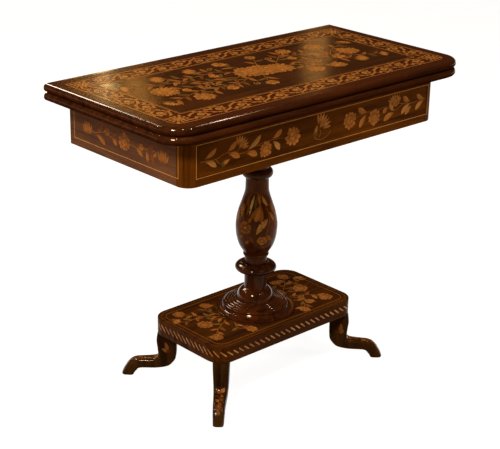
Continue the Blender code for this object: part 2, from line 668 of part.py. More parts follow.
def make_cleat_screw(name, x, y, cleat, board):
    """A countersunk screw up through the cleat into the bottom board."""
    head = CLEAT_SCREW_HEAD
    shank = CLEAT_SCREW_RADIUS
    sink = head - shank
    low = CLEAT_BOTTOM + FIT
    tip = low + CLEAT_SCREW_LENGTH
    turned(name, [(0.0, tip), (shank, tip), (shank, low + sink), (head, low), (0.0, low)],
           x, y, "iron", SMALL_SIDES)
    wide = head + 2 * FIT
    hole = turned(name + "_hole", [(0.0, tip + FIT), (shank + FIT, tip + FIT),
                                   (shank + FIT, low + sink), (wide, low - FIT),
                                   (wide, low - 2 * FIT), (0.0, low - 2 * FIT)], x, y, None,
                  SMALL_SIDES)
    cut(cleat, hole)
    cut(board, hole)


def collar_profile():
    top = COLLAR_TURNING_TOP
    bottom = COLLAR_TURNING_BOTTOM
    neck = COLLAR_NECK_RADIUS
    collar_middle = bottom + COLLAR_HALF_HEIGHT
    cove_depth = CAP_RADIUS - neck - CAP_HEIGHT / 3
    cove_top = top - CAP_HEIGHT
    profile = cushion(top - CAP_HEIGHT / 2, CAP_HEIGHT / 2, CAP_RADIUS - CAP_HEIGHT / 3,
                      CAP_RADIUS, 3)
    for turn in (15, 40, 65, 90):
        angle = radians(turn)
        profile.append((neck + cove_depth * (1 - sin(angle)),
                        cove_top - cove_depth * (1 - cos(angle))))
    return profile + cushion(collar_middle, COLLAR_HALF_HEIGHT, VASE_NECK_RADIUS, COLLAR_RADIUS, 6)


def vase_profile():
    """The baluster: a slim neck, a long swelling belly, a pinched foot and a bead."""
    top = VASE_TURNING_BOTTOM + VASE_TURNING_HEIGHT
    height = VASE_TURNING_HEIGHT
    belly = ((0.0500, 1.0), (0.1660, 1.054), (0.2830, 1.331), (0.4010, 1.633), (0.5190, 1.788),
             (0.6060, 1.799), (0.6980, 1.712), (0.7860, 1.511), (0.8560, 1.194), (0.8880, 1.043))
    stations = [(VASE_NECK_RADIUS * share, top - height * drop) for drop, share in belly]
    profile = [(VASE_NECK_RADIUS, top)] + through_spline(stations, 2)
    bead_middle = VASE_TURNING_BOTTOM + height * 0.0945
    profile += cushion(bead_middle, BEAD_HALF_HEIGHT, VASE_FOOT_RADIUS, BEAD_RADIUS, 4)
    return profile + [(VASE_FOOT_RADIUS, VASE_TURNING_BOTTOM)]


def disc_profile():
    top = DISC_TURNING_BOTTOM + DISC_TURNING_HEIGHT
    middle = (top + DISC_TURNING_BOTTOM) / 2
    profile = cushion(middle, DISC_HALF_HEIGHT, VASE_FOOT_RADIUS, DISC_RADIUS, 8)
    return [(VASE_FOOT_RADIUS, top)] + profile + [(VASE_FOOT_RADIUS, DISC_TURNING_BOTTOM)]


def base_profile():
    """A neck, a dome, three stepped rings, a round rim and a flared plinth."""
    bottom = BASE_TURNING_BOTTOM
    height = BASE_TURNING_HEIGHT
    neck = VASE_FOOT_RADIUS
    dome_low = bottom + 0.276 * height
    dome_high = bottom + 0.558 * height
    profile = [(neck, bottom + height), (neck, dome_high + 0.016 * height)]
    for turn in (10, 35, 60, 90):
        angle = radians(turn)
        profile.append((neck + (DOME_RADIUS - neck) * sin(angle),
                        dome_low + (dome_high - dome_low) * cos(angle)))
    step = (RIM_RADIUS - DOME_RADIUS) / 4
    for ring, level in ((0.4, 0.251), (1.4, 0.2235), (2.4, 0.198)):
        radius = DOME_RADIUS + ring * step
        profile += [(radius, bottom + level * height),
                    (radius + step / 8, bottom + (level - 0.015) * height)]
    for inset, level in ((0.23, 0.1686), (0.0, 0.1496), (0.09, 0.1286), (0.40, 0.1106)):
        profile.append((RIM_RADIUS - inset * step, bottom + level * height))
    flare = PLINTH_RADIUS - RIM_RADIUS
    for share, level in ((0.10, 0.0896), (0.60, 0.0548), (0.955, 0.0379), (1.0, 0.0295), (1.0, 0.0)):
        profile.append((RIM_RADIUS + share * flare, bottom + level * height))
    return profile


def make_column():
    for name, profile, wood in (("column_collar", collar_profile(), "dark_turning"),
                                ("column_vase", vase_profile(), "inlaid_frieze"),
                                ("column_disc", disc_profile(), "dark_turning"),
                                ("column_base", base_profile(), "dark_turning")):
        turned(name, bored(profile), 0.0, BASE_Y, wood)


def make_tie_rod():
    """The iron rod that clamps platform, column and cleat together."""
    hole = ROD_RADIUS + FIT
    seat_top = CLEAT_TOP - ROD_RECESS_DEPTH + FIT
    top_washer = seat_top + ROD_WASHER_THICKNESS
    top_nut_low = top_washer + FIT
    top_nut = top_nut_low + ROD_NUT_HEIGHT
    seat_low = FOOT_HEIGHT + ROD_RECESS_DEPTH - FIT
    low_washer = seat_low - ROD_WASHER_THICKNESS
    low_nut_top = low_washer - FIT
    low_nut = low_nut_top - ROD_NUT_HEIGHT
    cylinder("tie_rod", ROD_RADIUS, low_nut - ROD_STUB, top_nut + ROD_STUB, 0.0, BASE_Y, "iron")
    washer("tie_rod_top_washer", ROD_WASHER_RADIUS, hole, seat_top, top_washer, 0.0, BASE_Y, "iron")
    hexagon_nut("tie_rod_top_nut", ROD_NUT_RADIUS, hole, top_nut_low, top_nut, 0.0, BASE_Y, "iron")
    washer("tie_rod_low_washer", ROD_WASHER_RADIUS, hole, low_washer, seat_low, 0.0, BASE_Y, "iron")
    hexagon_nut("tie_rod_low_nut", ROD_NUT_RADIUS, hole, low_nut, low_nut_top, 0.0, BASE_Y, "iron")


def make_platform():
    edge = PLATFORM_EDGE
    plan = rounded_plan(-PLATFORM_LENGTH / 2 + edge, PLATFORM_LENGTH / 2 - edge,
                        BASE_Y - PLATFORM_WIDTH / 2 + edge, BASE_Y + PLATFORM_WIDTH / 2 - edge,
                        PLATFORM_RADIUS - edge, PLATFORM_RADIUS - edge)
    platform = slab("platform", plan, FOOT_HEIGHT, PLATFORM_TOP, "inlaid_top", edge, 0)
    cut(platform,
        cylinder("platform_rod_hole", ROD_RADIUS + RUN, FOOT_HEIGHT - FIT, PLATFORM_TOP + FIT,
                 0.0, BASE_Y),
        cylinder("platform_nut_recess", ROD_RECESS_RADIUS, FOOT_HEIGHT - FIT,
                 FOOT_HEIGHT + ROD_RECESS_DEPTH, 0.0, BASE_Y))
    return platform


def foot_outline():
    """Side view of a foot: distance out along the diagonal, and height, anticlockwise."""
    top = FOOT_HEIGHT - FIT
    half = LEG_THICKNESS / 2
    arm = ARM_THICKNESS
    rise = ARM_RISE
    arm_top = rise + arm
    leg = top - arm_top
    toe = FOOT_REACH
    heel = toe - SOLE_LENGTH
    outer = [(toe, 0.15 * rise), (toe - 0.22 * arm, 0.36 * arm_top), (toe - 0.70 * arm, 0.73 * arm_top),
             (toe - 1.33 * arm, 0.945 * arm_top), (half + arm, arm_top),
             (half + 0.27 * arm, arm_top + 0.09 * arm), (half - 0.04 * arm, arm_top + 0.39 * arm),
             (half, arm_top + 0.42 * leg), (half + KNEE_SWELL, arm_top + 0.72 * leg),
             (half - 0.02 * arm, top)]
    inner = [(-half, top), (-half - 0.05 * arm, top - 0.45 * leg), (-half, rise + 1.33 * arm),
             (-half + 0.28 * arm, rise + 0.78 * arm), (-half + 0.78 * arm, rise + 0.33 * arm),
             (half + 0.08 * arm, rise + 0.08 * arm), (heel - 0.70 * arm, rise - 0.02 * arm),
             (heel - 0.29 * arm, rise - 0.31 * arm), (heel - 0.06 * arm, 0.18 * rise), (heel, 0.0)]
    return through_spline(inner, 2) + [(toe - 0.06 * arm, 0.0)] + through_spline(outer, 2)


def foot_mesh():
    """One foot along +X from the leg's centre line, narrower towards the toe."""
    outline = foot_outline()
    slope = (FOOT_TOP_WIDTH - FOOT_TOE_WIDTH) / (FOOT_HEIGHT + FOOT_REACH)
    work = bmesh.new()
    sides = []
    for sign in (-1, 1):
        ring = []
        for out, height in outline:
            width = FOOT_TOP_WIDTH - slope * (FOOT_HEIGHT - height + out)
            ring.append(work.verts.new((out, sign * width / 2, height)))
        sides.append(ring)
    work.faces.new(sides[0])
    work.faces.new(list(reversed(sides[1])))
    count = len(outline)
    for i in range(count):
        j = (i + 1) % count
        work.faces.new((sides[0][i], sides[1][i], sides[1][j], sides[0][j]))
    bmesh.ops.recalc_face_normals(work, faces=work.faces)
    mesh = bpy.data.meshes.new("foot")
    work.to_mesh(mesh)
    work.free()
    return mesh


def make_foot(name, x_sign, y_sign, platform):
    foot = add_object(name, foot_mesh(), "mahogany")
    x = x_sign * LEG_X
    y = BASE_Y + y_sign * LEG_Y
    foot.location = (x, y, 0.0)
    bearing = {(1, 1): 45, (-1, 1): 135, (-1, -1): 225, (1, -1): 315}[(x_sign, y_sign)]
    foot.rotation_euler = (0.0, 0.0, radians(bearing))
    bevel = foot.modifiers.new("rounded_edges", "BEVEL")
    bevel.width = FOOT_EDGE
    bevel.segments = 2
    bevel.limit_method = "ANGLE"
    bevel.angle_limit = radians(50)
    hole = cylinder(name + "_dowel_hole", DOWEL_RADIUS + FIT, FOOT_HEIGHT - DOWEL_DEPTH - FIT,
                    FOOT_HEIGHT + DOWEL_DEPTH + FIT, x, y)
    cut(foot, hole)
    cut(platform, hole)
    cylinder(name.replace("foot", "foot_dowel"), DOWEL_RADIUS, FOOT_HEIGHT - DOWEL_DEPTH,
             FOOT_HEIGHT + DOWEL_DEPTH, x, y, "mahogany", sides=12)


def make_base():
    platform = make_platform()
    for name, x_sign, y_sign in (("foot_front_left", -1, -1), ("foot_front_right", 1, -1),
                                 ("foot_back_left", -1, 1), ("foot_back_right", 1, 1)):
        make_foot(name, x_sign, y_sign, platform)


def make_table():
    upper, lower, upper_baize, lower_baize = make_leaves()
    turning = [lower, lower_baize]
    folding = [upper, upper_baize]
    for side, x in (("left", HINGE_INSET - LEAF_LENGTH / 2), ("right", LEAF_LENGTH / 2 - HINGE_INSET)):
        upper_plate, lower_plate, pin = make_hinge(side, x, upper, lower)
        folding.append(upper_plate)
        turning += [lower_plate, pin]
    turning += make_swivel(lower)
    swivel_axis = axis_empty("swivel_axis", (PIVOT_X, PIVOT_Y, LOWER_BOTTOM))
    fold_axis = axis_empty("fold_axis", (0.0, FOLD_Y, FOLD_Z), swivel_axis)
    hang_on(swivel_axis, *turning)
    hang_on(fold_axis, *folding)
    make_rails()
    board = make_box_inside()
    make_cleat(board)
    make_column()
    make_tie_rod()
    make_base()


clear_scene()
PARTS = new_collection("card_table")
CUTTERS = new_collection("cutters")
make_table()
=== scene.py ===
"""Looks of the fold-over card table: finer boards and turnings, inlay, baize, fittings and the stage.

Metres, +Z up, in the frame of the CAD model: the origin is on the floor under the closed table,
X runs along the long side, and the front edge is at -Y.
"""

import json
import random
from math import atan2, cos, hypot, pi, radians, sin, sqrt, tau

import bmesh
import bpy
import numpy as np
from bpy.props import FloatProperty, FloatVectorProperty, IntProperty, PointerProperty
from mathutils import Matrix, Vector, noise


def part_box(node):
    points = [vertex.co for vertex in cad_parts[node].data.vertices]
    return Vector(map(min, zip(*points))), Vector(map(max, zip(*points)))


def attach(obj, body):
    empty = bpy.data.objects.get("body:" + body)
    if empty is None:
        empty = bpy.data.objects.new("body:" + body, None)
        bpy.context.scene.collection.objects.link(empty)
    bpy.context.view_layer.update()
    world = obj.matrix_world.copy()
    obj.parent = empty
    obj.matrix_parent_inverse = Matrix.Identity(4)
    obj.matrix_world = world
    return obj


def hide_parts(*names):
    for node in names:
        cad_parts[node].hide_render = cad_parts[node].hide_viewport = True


bl_info = {
    "name": "Inlaid card table",
    "version": (1, 0, 0),
    "blender": (4, 5, 0),
    "location": "3D View > Sidebar > Card table",
    "description": "Builds the inlaid fold-over card table round its CAD model",
    "category": "Object",
}

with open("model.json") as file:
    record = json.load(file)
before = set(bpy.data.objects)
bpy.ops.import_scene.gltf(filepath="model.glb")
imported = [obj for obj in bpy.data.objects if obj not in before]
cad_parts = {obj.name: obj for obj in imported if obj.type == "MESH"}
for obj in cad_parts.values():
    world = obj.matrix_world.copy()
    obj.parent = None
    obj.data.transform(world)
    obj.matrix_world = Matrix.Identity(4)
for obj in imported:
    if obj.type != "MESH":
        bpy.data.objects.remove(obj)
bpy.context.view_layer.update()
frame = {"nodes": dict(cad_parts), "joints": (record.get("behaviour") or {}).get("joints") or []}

# Places read from the CAD model
TOP_LOW, TOP_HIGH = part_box("upper_leaf")
LOWER_LOW, LOWER_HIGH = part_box("lower_leaf")
FRONT_LOW, FRONT_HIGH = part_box("frieze_front_rail")
PLATFORM_LOW, PLATFORM_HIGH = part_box("platform")
SWIVEL, FOLD = (Vector(next(joint["pos_m"] for joint in frame["joints"] if joint["name"] == name))
                for name in ("top_swivel", "leaf_fold"))

# Sizes that the CAD source also uses
FIT = 0.0003             # between pieces that touch
RUN = 0.0005             # round a shaft, pin or barrel
LEAF_CORNER = 0.060
POST_RADIUS, POST_SIDE = 0.030, 0.034
BAIZE_MARGIN, BAIZE_HINGE_MARGIN = 0.062, 0.030
BAIZE_CORNER, BAIZE_RECESS = 0.012, 0.0012
HINGE_OFFSET = 0.0006    # hinges' axis behind the leaves' back edges
KNUCKLE_RADIUS = 0.0028
HINGE_PLATE_HEIGHT, HINGE_PLATE_THICKNESS = 0.0132, 0.0016
SWIVEL_SIDE, SWIVEL_THICKNESS = 0.090, 0.003
PIVOT_HEAD_RADIUS = 0.011
ROD_HOLE = 0.0065
ROD_RECESS_RADIUS, ROD_RECESS_DEPTH = 0.0165, 0.0145
DOWEL_RADIUS, DOWEL_DEPTH = 0.008, 0.025
PLATFORM_CORNER = 0.043
LEG_X, LEG_Y = 0.1977, 0.0999    # from the platform's middle to a leg's

LEAF_THICKNESS = LOWER_HIGH.z - LOWER_LOW.z
LEAF_FRONT, LEAF_BACK = TOP_LOW.y, FOLD.y - HINGE_OFFSET
LEAF_END = TOP_HIGH.x
FRIEZE_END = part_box("frieze_right_rail")[1].x
FRIEZE_FRONT = FRONT_LOW.y
FRIEZE_LOW, FRIEZE_HIGH = FRONT_LOW.z, FRONT_HIGH.z
BASE_Y = (PLATFORM_LOW.y + PLATFORM_HIGH.y) / 2

GROUND_SINK = 0.0004     # how far the ground lies below the CAD surface, so that the inlay fits under it


def srgb(red, green, blue):
    """A colour given as 0 to 255 on a screen, as a linear one."""
    parts = (part / 255 for part in (red, green, blue))
    return tuple(v / 12.92 if v <= 0.04045 else ((v + 0.055) / 1.055) ** 2.4 for v in parts)


def colour(name, value, description):
    return FloatVectorProperty(name=name, description=description, default=value, size=3,
                               min=0.0, max=1.0, subtype="COLOR")


def length(name, value, description):
    return FloatProperty(name=name, description=description, default=value, min=0.0,
                         unit="LENGTH", precision=5)


class StageSettings(bpy.types.PropertyGroup):
    floor: colour("Floor", (0.30, 0.27, 0.23), "Colour of the pale floor")
    room: colour("Room", (0.040, 0.022, 0.010), "Colour of the dim room round the lamps")
    lamp_level: FloatProperty(name="Lamp level", description="Share of the plain lamp level",
                              default=1.0, min=0.0, max=3.0)
    lens: FloatProperty(name="Lens", description="Focal length of the camera, in millimetres",
                        default=98.09, min=10.0, max=300.0, subtype="DISTANCE_CAMERA")


class WoodSettings(bpy.types.PropertyGroup):
    ground: colour("Inlaid ground", srgb(84, 42, 13), "Mahogany under the inlay of the top")
    ground_dark: colour("Inlaid ground, dark", srgb(44, 21, 7), "Dark figure of that mahogany")
    mahogany: colour("Mahogany", srgb(78, 36, 11), "Plain mahogany")
    mahogany_dark: colour("Mahogany, dark", srgb(34, 16, 7), "Dark figure of the plain mahogany")
    frieze: colour("Frieze", srgb(110, 58, 8), "Mahogany of the box")
    frieze_dark: colour("Frieze, dark", srgb(62, 31, 5), "Dark figure of the box")
    # The ends' mahogany is lighter and greyer than the front's: a painted sheen for the light the ends
    # catch, not a different wood
    ends_with_painted_sheen: colour("Frieze, ends", srgb(118, 76, 50), "Light figure of the box's two end panels")
    ends_with_painted_sheen_dark: colour("Frieze, ends, dark", srgb(78, 49, 36),
                            "Dark figure of the box's two end panels")
    turned: colour("Turned wood", srgb(80, 36, 11), "Very dark turned mahogany")
    turned_dark: colour("Turned wood, dark", srgb(28, 12, 6), "Dark figure of the turnings")
    vase: colour("Vase", srgb(104, 52, 14), "Mahogany of the vase, under its inlay")
    vase_dark: colour("Vase, dark", srgb(54, 25, 8), "Dark figure of the vase")
    foot: colour("Feet", srgb(68, 41, 12), "Mahogany of the feet")
    platform: colour("Platform", srgb(84, 44, 9), "Redder mahogany of the platform")
    platform_dark: colour("Platform, dark", srgb(36, 16, 6), "Dark figure of the platform")
    pine: colour("Pine", srgb(178, 138, 92), "Unpolished pine of the hidden boards")
    pine_dark: colour("Pine, dark", srgb(128, 88, 52), "Late wood of the pine")


class InlaySettings(bpy.types.PropertyGroup):
    lift: length("Lift", 0.00008, "How far the lowest inlay stands above its ground")
    root: length("Root", 0.00030, "How deep the inlay goes into its ground")
    line: length("Stringing", 0.0016, "Width of the light lines")
    scroll_pitch: length("Scroll pitch", 0.0555, "Length of one scroll of the top's border")
    seed: IntProperty(name="Seed", description="Seed of the small differences in the inlay",
                      default=11)


class RopeSettings(bpy.types.PropertyGroup):
    pitch: length("Pitch", 0.0165, "Distance from one dash of the rope band to the next")
    dash: length("Dash length", 0.0200, "Length of one dash")
    width: length("Dash width", 0.0036, "Width of one dash")
    slant: FloatProperty(name="Slant", description="Angle of the dashes from level",
                         default=radians(38), subtype="ANGLE")
    end_pitch: length("Pitch, ends", 0.0150, "Distance between the short sides' dashes")
    end_dash: length("Dash length, ends", 0.0225, "Length of one dash on the short sides")
    end_width: length("Dash width, ends", 0.0026, "Width of one dash on the short sides")
    end_slant: FloatProperty(name="Slant, ends", description="Angle of the short sides' dashes",
                             default=radians(44), subtype="ANGLE")


class BaizeSettings(bpy.types.PropertyGroup):
    cloth: colour("Baize", (0.030, 0.105, 0.048), "Green of the cloth")
    worn: colour("Worn baize", (0.075, 0.150, 0.075), "Green where the nap is rubbed")
    nap: length("Nap", 0.00012, "Height of the cloth's small unevenness")


class MetalSettings(bpy.types.PropertyGroup):
    brass: colour("Brass", (0.62, 0.41, 0.16), "Aged brass of the hinges")
    iron: colour("Iron", (0.15, 0.14, 0.135), "Dark iron of the bolts and screws")
    screw_radius: length("Screw radius", 0.0024, "Radius of the hinge screws' heads")


# Materials

def fill(tree, node, **values):
    """Set or link a node's inputs, by their number or by their name with _ for each space."""
    for key, value in values.items():
        socket = node.inputs[int(key)] if key.isdigit() else node.inputs[key.replace("_", " ")]
        if isinstance(value, bpy.types.NodeSocket):
            tree.links.new(value, socket)
        else:
            socket.default_value = value


def add_node(tree, kind, **values):
    """A node with its inputs given as in_ and their number or name, and its properties by name."""
    node = tree.nodes.new(kind)
    for key, value in values.items():
        if key.startswith("in_"):
            fill(tree, node, **{key[3:]: value})
        else:
            setattr(node, key, value)
    return node


def new_material(name):
    material = bpy.data.materials.new(name)
    material.use_nodes = True
    return material, material.node_tree, material.node_tree.nodes["Principled BSDF"]


def ramp(tree, factor, stops, interpolation="LINEAR"):
    """A colour ramp through (place, colour) stops."""
    node = add_node(tree, "ShaderNodeValToRGB", in_0=factor)
    node.color_ramp.interpolation = interpolation
    elements = node.color_ramp.elements
    elements.remove(elements[-1])
    elements[0].position = stops[0][0]
    elements[0].color = (*stops[0][1][:3], 1.0)
    for place, shade in stops[1:]:
        elements.new(place).color = (*shade[:3], 1.0)
    return node.outputs["Color"]


def maths(tree, operation, first, second=0.0, clamp=False):
    return add_node(tree, "ShaderNodeMath", operation=operation, use_clamp=clamp, in_0=first,
                    in_1=second).outputs[0]


def plus(tree, first, second):
    return maths(tree, "ADD", first, second)


def minus(tree, first, second):
    return maths(tree, "SUBTRACT", first, second)


def times(tree, first, second):
    return maths(tree, "MULTIPLY", first, second)


def spread(tree, value, low, high, to_low, to_high):
    """Map a value from one range to another, clamped."""
    return add_node(tree, "ShaderNodeMapRange", clamp=True, in_0=value, in_1=low, in_2=high,
                    in_3=to_low, in_4=to_high).outputs[0]


def blend_colours(tree, factor, first, second):
    first, second = (value if isinstance(value, bpy.types.NodeSocket) else (*value[:3], 1.0)
                     for value in (first, second))
    return add_node(tree, "ShaderNodeMix", data_type="RGBA", in_0=factor, in_6=first,
                    in_7=second).outputs[2]


def scaled(tree, point, scale):
    return add_node(tree, "ShaderNodeMapping", in_Vector=point, in_Scale=scale).outputs[0]


def noise_value(tree, point, scale, detail, rough=0.55, distortion=0.0):
    return add_node(tree, "ShaderNodeTexNoise", in_Vector=point, in_Scale=scale,
                    in_Detail=detail, in_Roughness=rough, in_Distortion=distortion).outputs[0]


def vector(tree, x=0.0, y=0.0, z=0.0):
    return add_node(tree, "ShaderNodeCombineXYZ", in_0=x, in_1=y, in_2=z).outputs[0]


def components(tree, value):
    return add_node(tree, "ShaderNodeSeparateXYZ", in_0=value).outputs[:3]


def object_place(tree):
    return add_node(tree, "ShaderNodeTexCoord").outputs["Object"]


def bump(tree, height, strength, distance):
    return add_node(tree, "ShaderNodeBump", in_Strength=strength, in_Distance=distance,
                    in_Height=height).outputs[0]


def polished(tree, shader, shine, coat):
    """The warm, faint mirror of an old polish, under a thin clear coat."""
    fill(tree, shader, Specular_IOR_Level=shine, Specular_Tint=(1.0, 0.62, 0.34, 1.0),
         Coat_Weight=coat, Coat_Roughness=0.08)


# Waves in a metre of wood, along its grain and across it
GRAIN_ALONG, GRAIN_ACROSS = 2.2, 34.0


def wood(name, light, dark, along, roughness, coat, shine, figure=1.0, pores=0.5):
    """Wood with its grain along one axis of the piece, polished where the coat is above 0."""
    material, tree, shader = new_material(name)
    place = object_place(tree)

    def streaks(finer, *kind):
        scale = (finer * (GRAIN_ALONG if axis == along else GRAIN_ACROSS) for axis in "xyz")
        return noise_value(tree, scaled(tree, place, tuple(scale)), 1.0, *kind)

    broad = streaks(figure, 4.0, 0.55, 1.6)
    fine = streaks(14, 3.0, 0.6)
    pore = streaks(30, 2.0, 0.7)
    cloud = noise_value(tree, place, 5.0, 2.0)
    mixed = plus(tree, times(tree, broad, 0.75), times(tree, fine, 0.25))
    mixed = plus(tree, mixed, spread(tree, cloud, 0.3, 0.7, -0.07, 0.07))
    middle = tuple((a * 0.55 + b * 0.45) for a, b in zip(light, dark))
    body = ramp(tree, mixed, [(0.33, dark), (0.5, middle), (0.65, light)])
    darkened = blend_colours(tree, spread(tree, pore, 0.56, 0.70, 0.0, pores), body,
                             tuple(v * 0.35 for v in dark))
    polish = spread(tree, noise_value(tree, place, 22.0, 4.0), 0.3, 0.75, roughness * 0.8,
                    roughness * 1.35)
    height = plus(tree, fine, times(tree, pore, -0.6))
    fill(tree, shader, Base_Color=darkened, Roughness=polish,
         Normal=bump(tree, height, 0.45 if roughness > 0.5 else 0.12, 0.0004))
    polished(tree, shader, shine, coat)
    return material


# Woods of the inlay, as steps of one ramp
INLAY_WOODS = {
    "rosewood": srgb(86, 38, 15),
    "chestnut": srgb(128, 70, 30),
    "amber": srgb(164, 98, 42),
    "orange": srgb(192, 118, 50),
    "tan": srgb(200, 136, 68),
    "straw": srgb(218, 180, 112),
    "olive": srgb(118, 84, 34),
    "ebony": srgb(24, 13, 9),
}


def inlay_wood(name, roughness, coat, shine):
    """The inlay's woods, by the piece: grain along it, a scorched root and a dark outline.

    Shade 0 leaves a piece plain, 1 makes a leaf with a dark rib and 2 a petal with dark lines.
    """
    material, tree, shader = new_material(name)
    kind = add_node(tree, "ShaderNodeAttribute", attribute_name="kind").outputs["Vector"]
    hue, tone, shade = components(tree, kind)
    share = add_node(tree, "ShaderNodeUVMap", uv_map="share").outputs[0]
    along, across, _ = components(tree, share)
    run = add_node(tree, "ShaderNodeUVMap", uv_map="run").outputs[0]
    count = len(INLAY_WOODS)
    base = ramp(tree, hue, [(i / count, tint) for i, tint in enumerate(INLAY_WOODS.values())],
                "CONSTANT")
    shifted = add_node(tree, "ShaderNodeVectorMath", operation="ADD", in_0=run,
                       in_1=vector(tree, tone, hue, tone)).outputs[0]
    grain = noise_value(tree, scaled(tree, shifted, (45.0, 700.0, 9.0)), 1.0, 4.0, 0.6)
    rays = noise_value(tree, scaled(tree, shifted, (120.0, 160.0, 9.0)), 1.0, 2.0)
    bright = times(tree, spread(tree, grain, 0.3, 0.7, 0.80, 1.16),
                   spread(tree, rays, 0.3, 0.7, 0.90, 1.10))
    bright = times(tree, bright, tone)
    shaded = maths(tree, "MINIMUM", shade, 1.0)
    petal = maths(tree, "SUBTRACT", shade, 1.0, clamp=True)
    leafy = minus(tree, shaded, petal)
    scorch = times(tree, spread(tree, along, 0.0, 0.40, 0.60, 0.0), shaded)
    side = times(tree, spread(tree, across, 0.55, 1.0, 0.0, 0.35), leafy)
    rim = maths(tree, "ABSOLUTE", minus(tree, across, 0.5))
    wave = maths(tree, "COSINE", times(tree, across, 5 * tau))
    lines = times(tree, spread(tree, wave, 0.55, 0.95, 0.0, 0.38), petal)
    rib = times(tree, spread(tree, rim, 0.02, 0.06, 0.45, 0.0), leafy)
    outline = times(tree, spread(tree, rim, 0.40, 0.48, 0.0, 0.70), shaded)
    for dark in (maths(tree, "MAXIMUM", scorch, side), lines, rib, outline):
        bright = times(tree, bright, minus(tree, 1.0, dark))
    made = add_node(tree, "ShaderNodeVectorMath", operation="SCALE", in_0=base, in_Scale=bright)
    polish = spread(tree, grain, 0.3, 0.7, roughness * 1.2, roughness * 0.85)
    fill(tree, shader, Base_Color=made.outputs[0], Roughness=polish)
    polished(tree, shader, shine, coat)
    return material


def baize_cloth(name):
    material, tree, shader = new_material(name)
    settings = bpy.context.scene.card_table_baize
    place = object_place(tree)
    fibre = noise_value(tree, scaled(tree, place, (900.0, 900.0, 900.0)), 1.0, 3.0, 0.7, 0.8)
    patch = noise_value(tree, place, 7.0, 4.0, 0.6)
    cloth = ramp(tree, fibre, [(0.30, tuple(v * 0.55 for v in settings.cloth)), (0.55, settings.cloth),
                               (0.75, tuple(v * 1.5 for v in settings.cloth))])
    worn = blend_colours(tree, spread(tree, patch, 0.50, 0.72, 0.0, 0.55), cloth, settings.worn)
    fill(tree, shader, Base_Color=worn, Roughness=0.95, Specular_IOR_Level=0.15, Sheen_Weight=0.35,
         Sheen_Roughness=0.55, Sheen_Tint=(0.45, 0.75, 0.5, 1.0),
         Normal=bump(tree, fibre, 0.5, 0.0003))
    return material


def metal(name, base, roughness, stain):
    """A metal with stains, fine scratches and brighter edges."""
    material, tree, shader = new_material(name)
    place = object_place(tree)
    cloud = noise_value(tree, place, 90.0, 5.0, 0.65)
    scratch = noise_value(tree, scaled(tree, place, (1500.0, 200.0, 900.0)), 1.0, 2.0)
    tinted = blend_colours(tree, spread(tree, cloud, 0.42, 0.68, 0.0, 0.6), base, stain)
    edges = add_node(tree, "ShaderNodeNewGeometry").outputs["Pointiness"]
    tinted = blend_colours(tree, spread(tree, edges, 0.53, 0.62, 0.0, 0.4), tinted,
                           tuple(min(1.0, v * 1.6) for v in base))
    fill(tree, shader, Base_Color=tinted, Metallic=1.0, Normal=bump(tree, scratch, 0.2, 0.0002),
         Roughness=spread(tree, cloud, 0.3, 0.75, roughness * 0.75, roughness * 1.4))
    return material


MADE = {}


def material_of(name):
    """One of the table's materials, made when it is first asked for."""
    if name in MADE:
        return MADE[name]
    woods = bpy.context.scene.card_table_woods
    metals = bpy.context.scene.card_table_metals
    # Light and dark colour, grain, roughness, coat, shine, and where they differ figure and pores
    grounds = {
        "top_ground": (woods.ground, woods.ground_dark, "x", 0.13, 0.04, 0.36),
        # turned, leaf_crest and foot_crest are glossy copies for faces that face up, to catch the lamps'
        # highlights; turned_side, leaf_edge and foot are dull copies for the other faces, to keep the
        # floor's reflection off them
        "turned": (woods.turned, woods.turned_dark, "z", 0.10, 0.30, 0.28),
        "turned_side": (woods.turned, woods.turned_dark, "z", 0.16, 0.01, 0.12),
        "vase": (woods.vase, woods.vase_dark, "z", 0.20, 0.02, 0.07),
        "platform": (woods.platform, woods.platform_dark, "x", 0.24, 0.0, 0.02),
        "leaf_crest": (woods.mahogany, woods.mahogany_dark, "x", 0.11, 0.60, 0.30),
        "leaf_edge": (woods.mahogany, woods.mahogany_dark, "x", 0.20, 0.0, 0.0),
        "foot_crest": (woods.foot, woods.turned_dark, "z", 0.14, 0.35, 0.25),
        "foot": (woods.foot, woods.turned_dark, "z", 0.24, 0.0, 0.01),
    }
    for axis in "xyz":
        grounds["mahogany_" + axis] = (woods.mahogany, woods.mahogany_dark, axis, 0.24, 0.0, 0.015)
        grounds["frieze_" + axis] = (woods.frieze, woods.frieze_dark, axis, 0.28, 0.0, 0.01)
        grounds["pine_" + axis] = (woods.pine, woods.pine_dark, axis, 0.75, 0.0, 0.15, 1.6, 0.25)
    # The end rails get the lighter, greyer colour, which paints on the sheen of the lit ends
    grounds["frieze_y"] = (woods.ends_with_painted_sheen, woods.ends_with_painted_sheen_dark, "y", 0.28, 0.0, 0.01)
    grounds["rope"] = (INLAY_WOODS["tan"], INLAY_WOODS["chestnut"], "z", 0.30, 0.05, 0.25, 1.5)
    others = {
        "inlay": (inlay_wood, 0.22, 0.03, 0.16),
        "side_inlay": (inlay_wood, 0.28, 0.0, 0.03),
        "baize": (baize_cloth,),
        "brass": (metal, metals.brass, 0.34, (0.20, 0.12, 0.05)),
        "iron": (metal, metals.iron, 0.50, (0.09, 0.045, 0.025)),
    }
    maker, *values = others[name] if name in others else (wood, *grounds[name])
    MADE[name] = maker(name, *values)
    return MADE[name]


# Meshes

def added(name, data):
    """A new object in the scene."""
    thing = bpy.data.objects.new(name, data)
    bpy.context.scene.collection.objects.link(thing)
    return thing


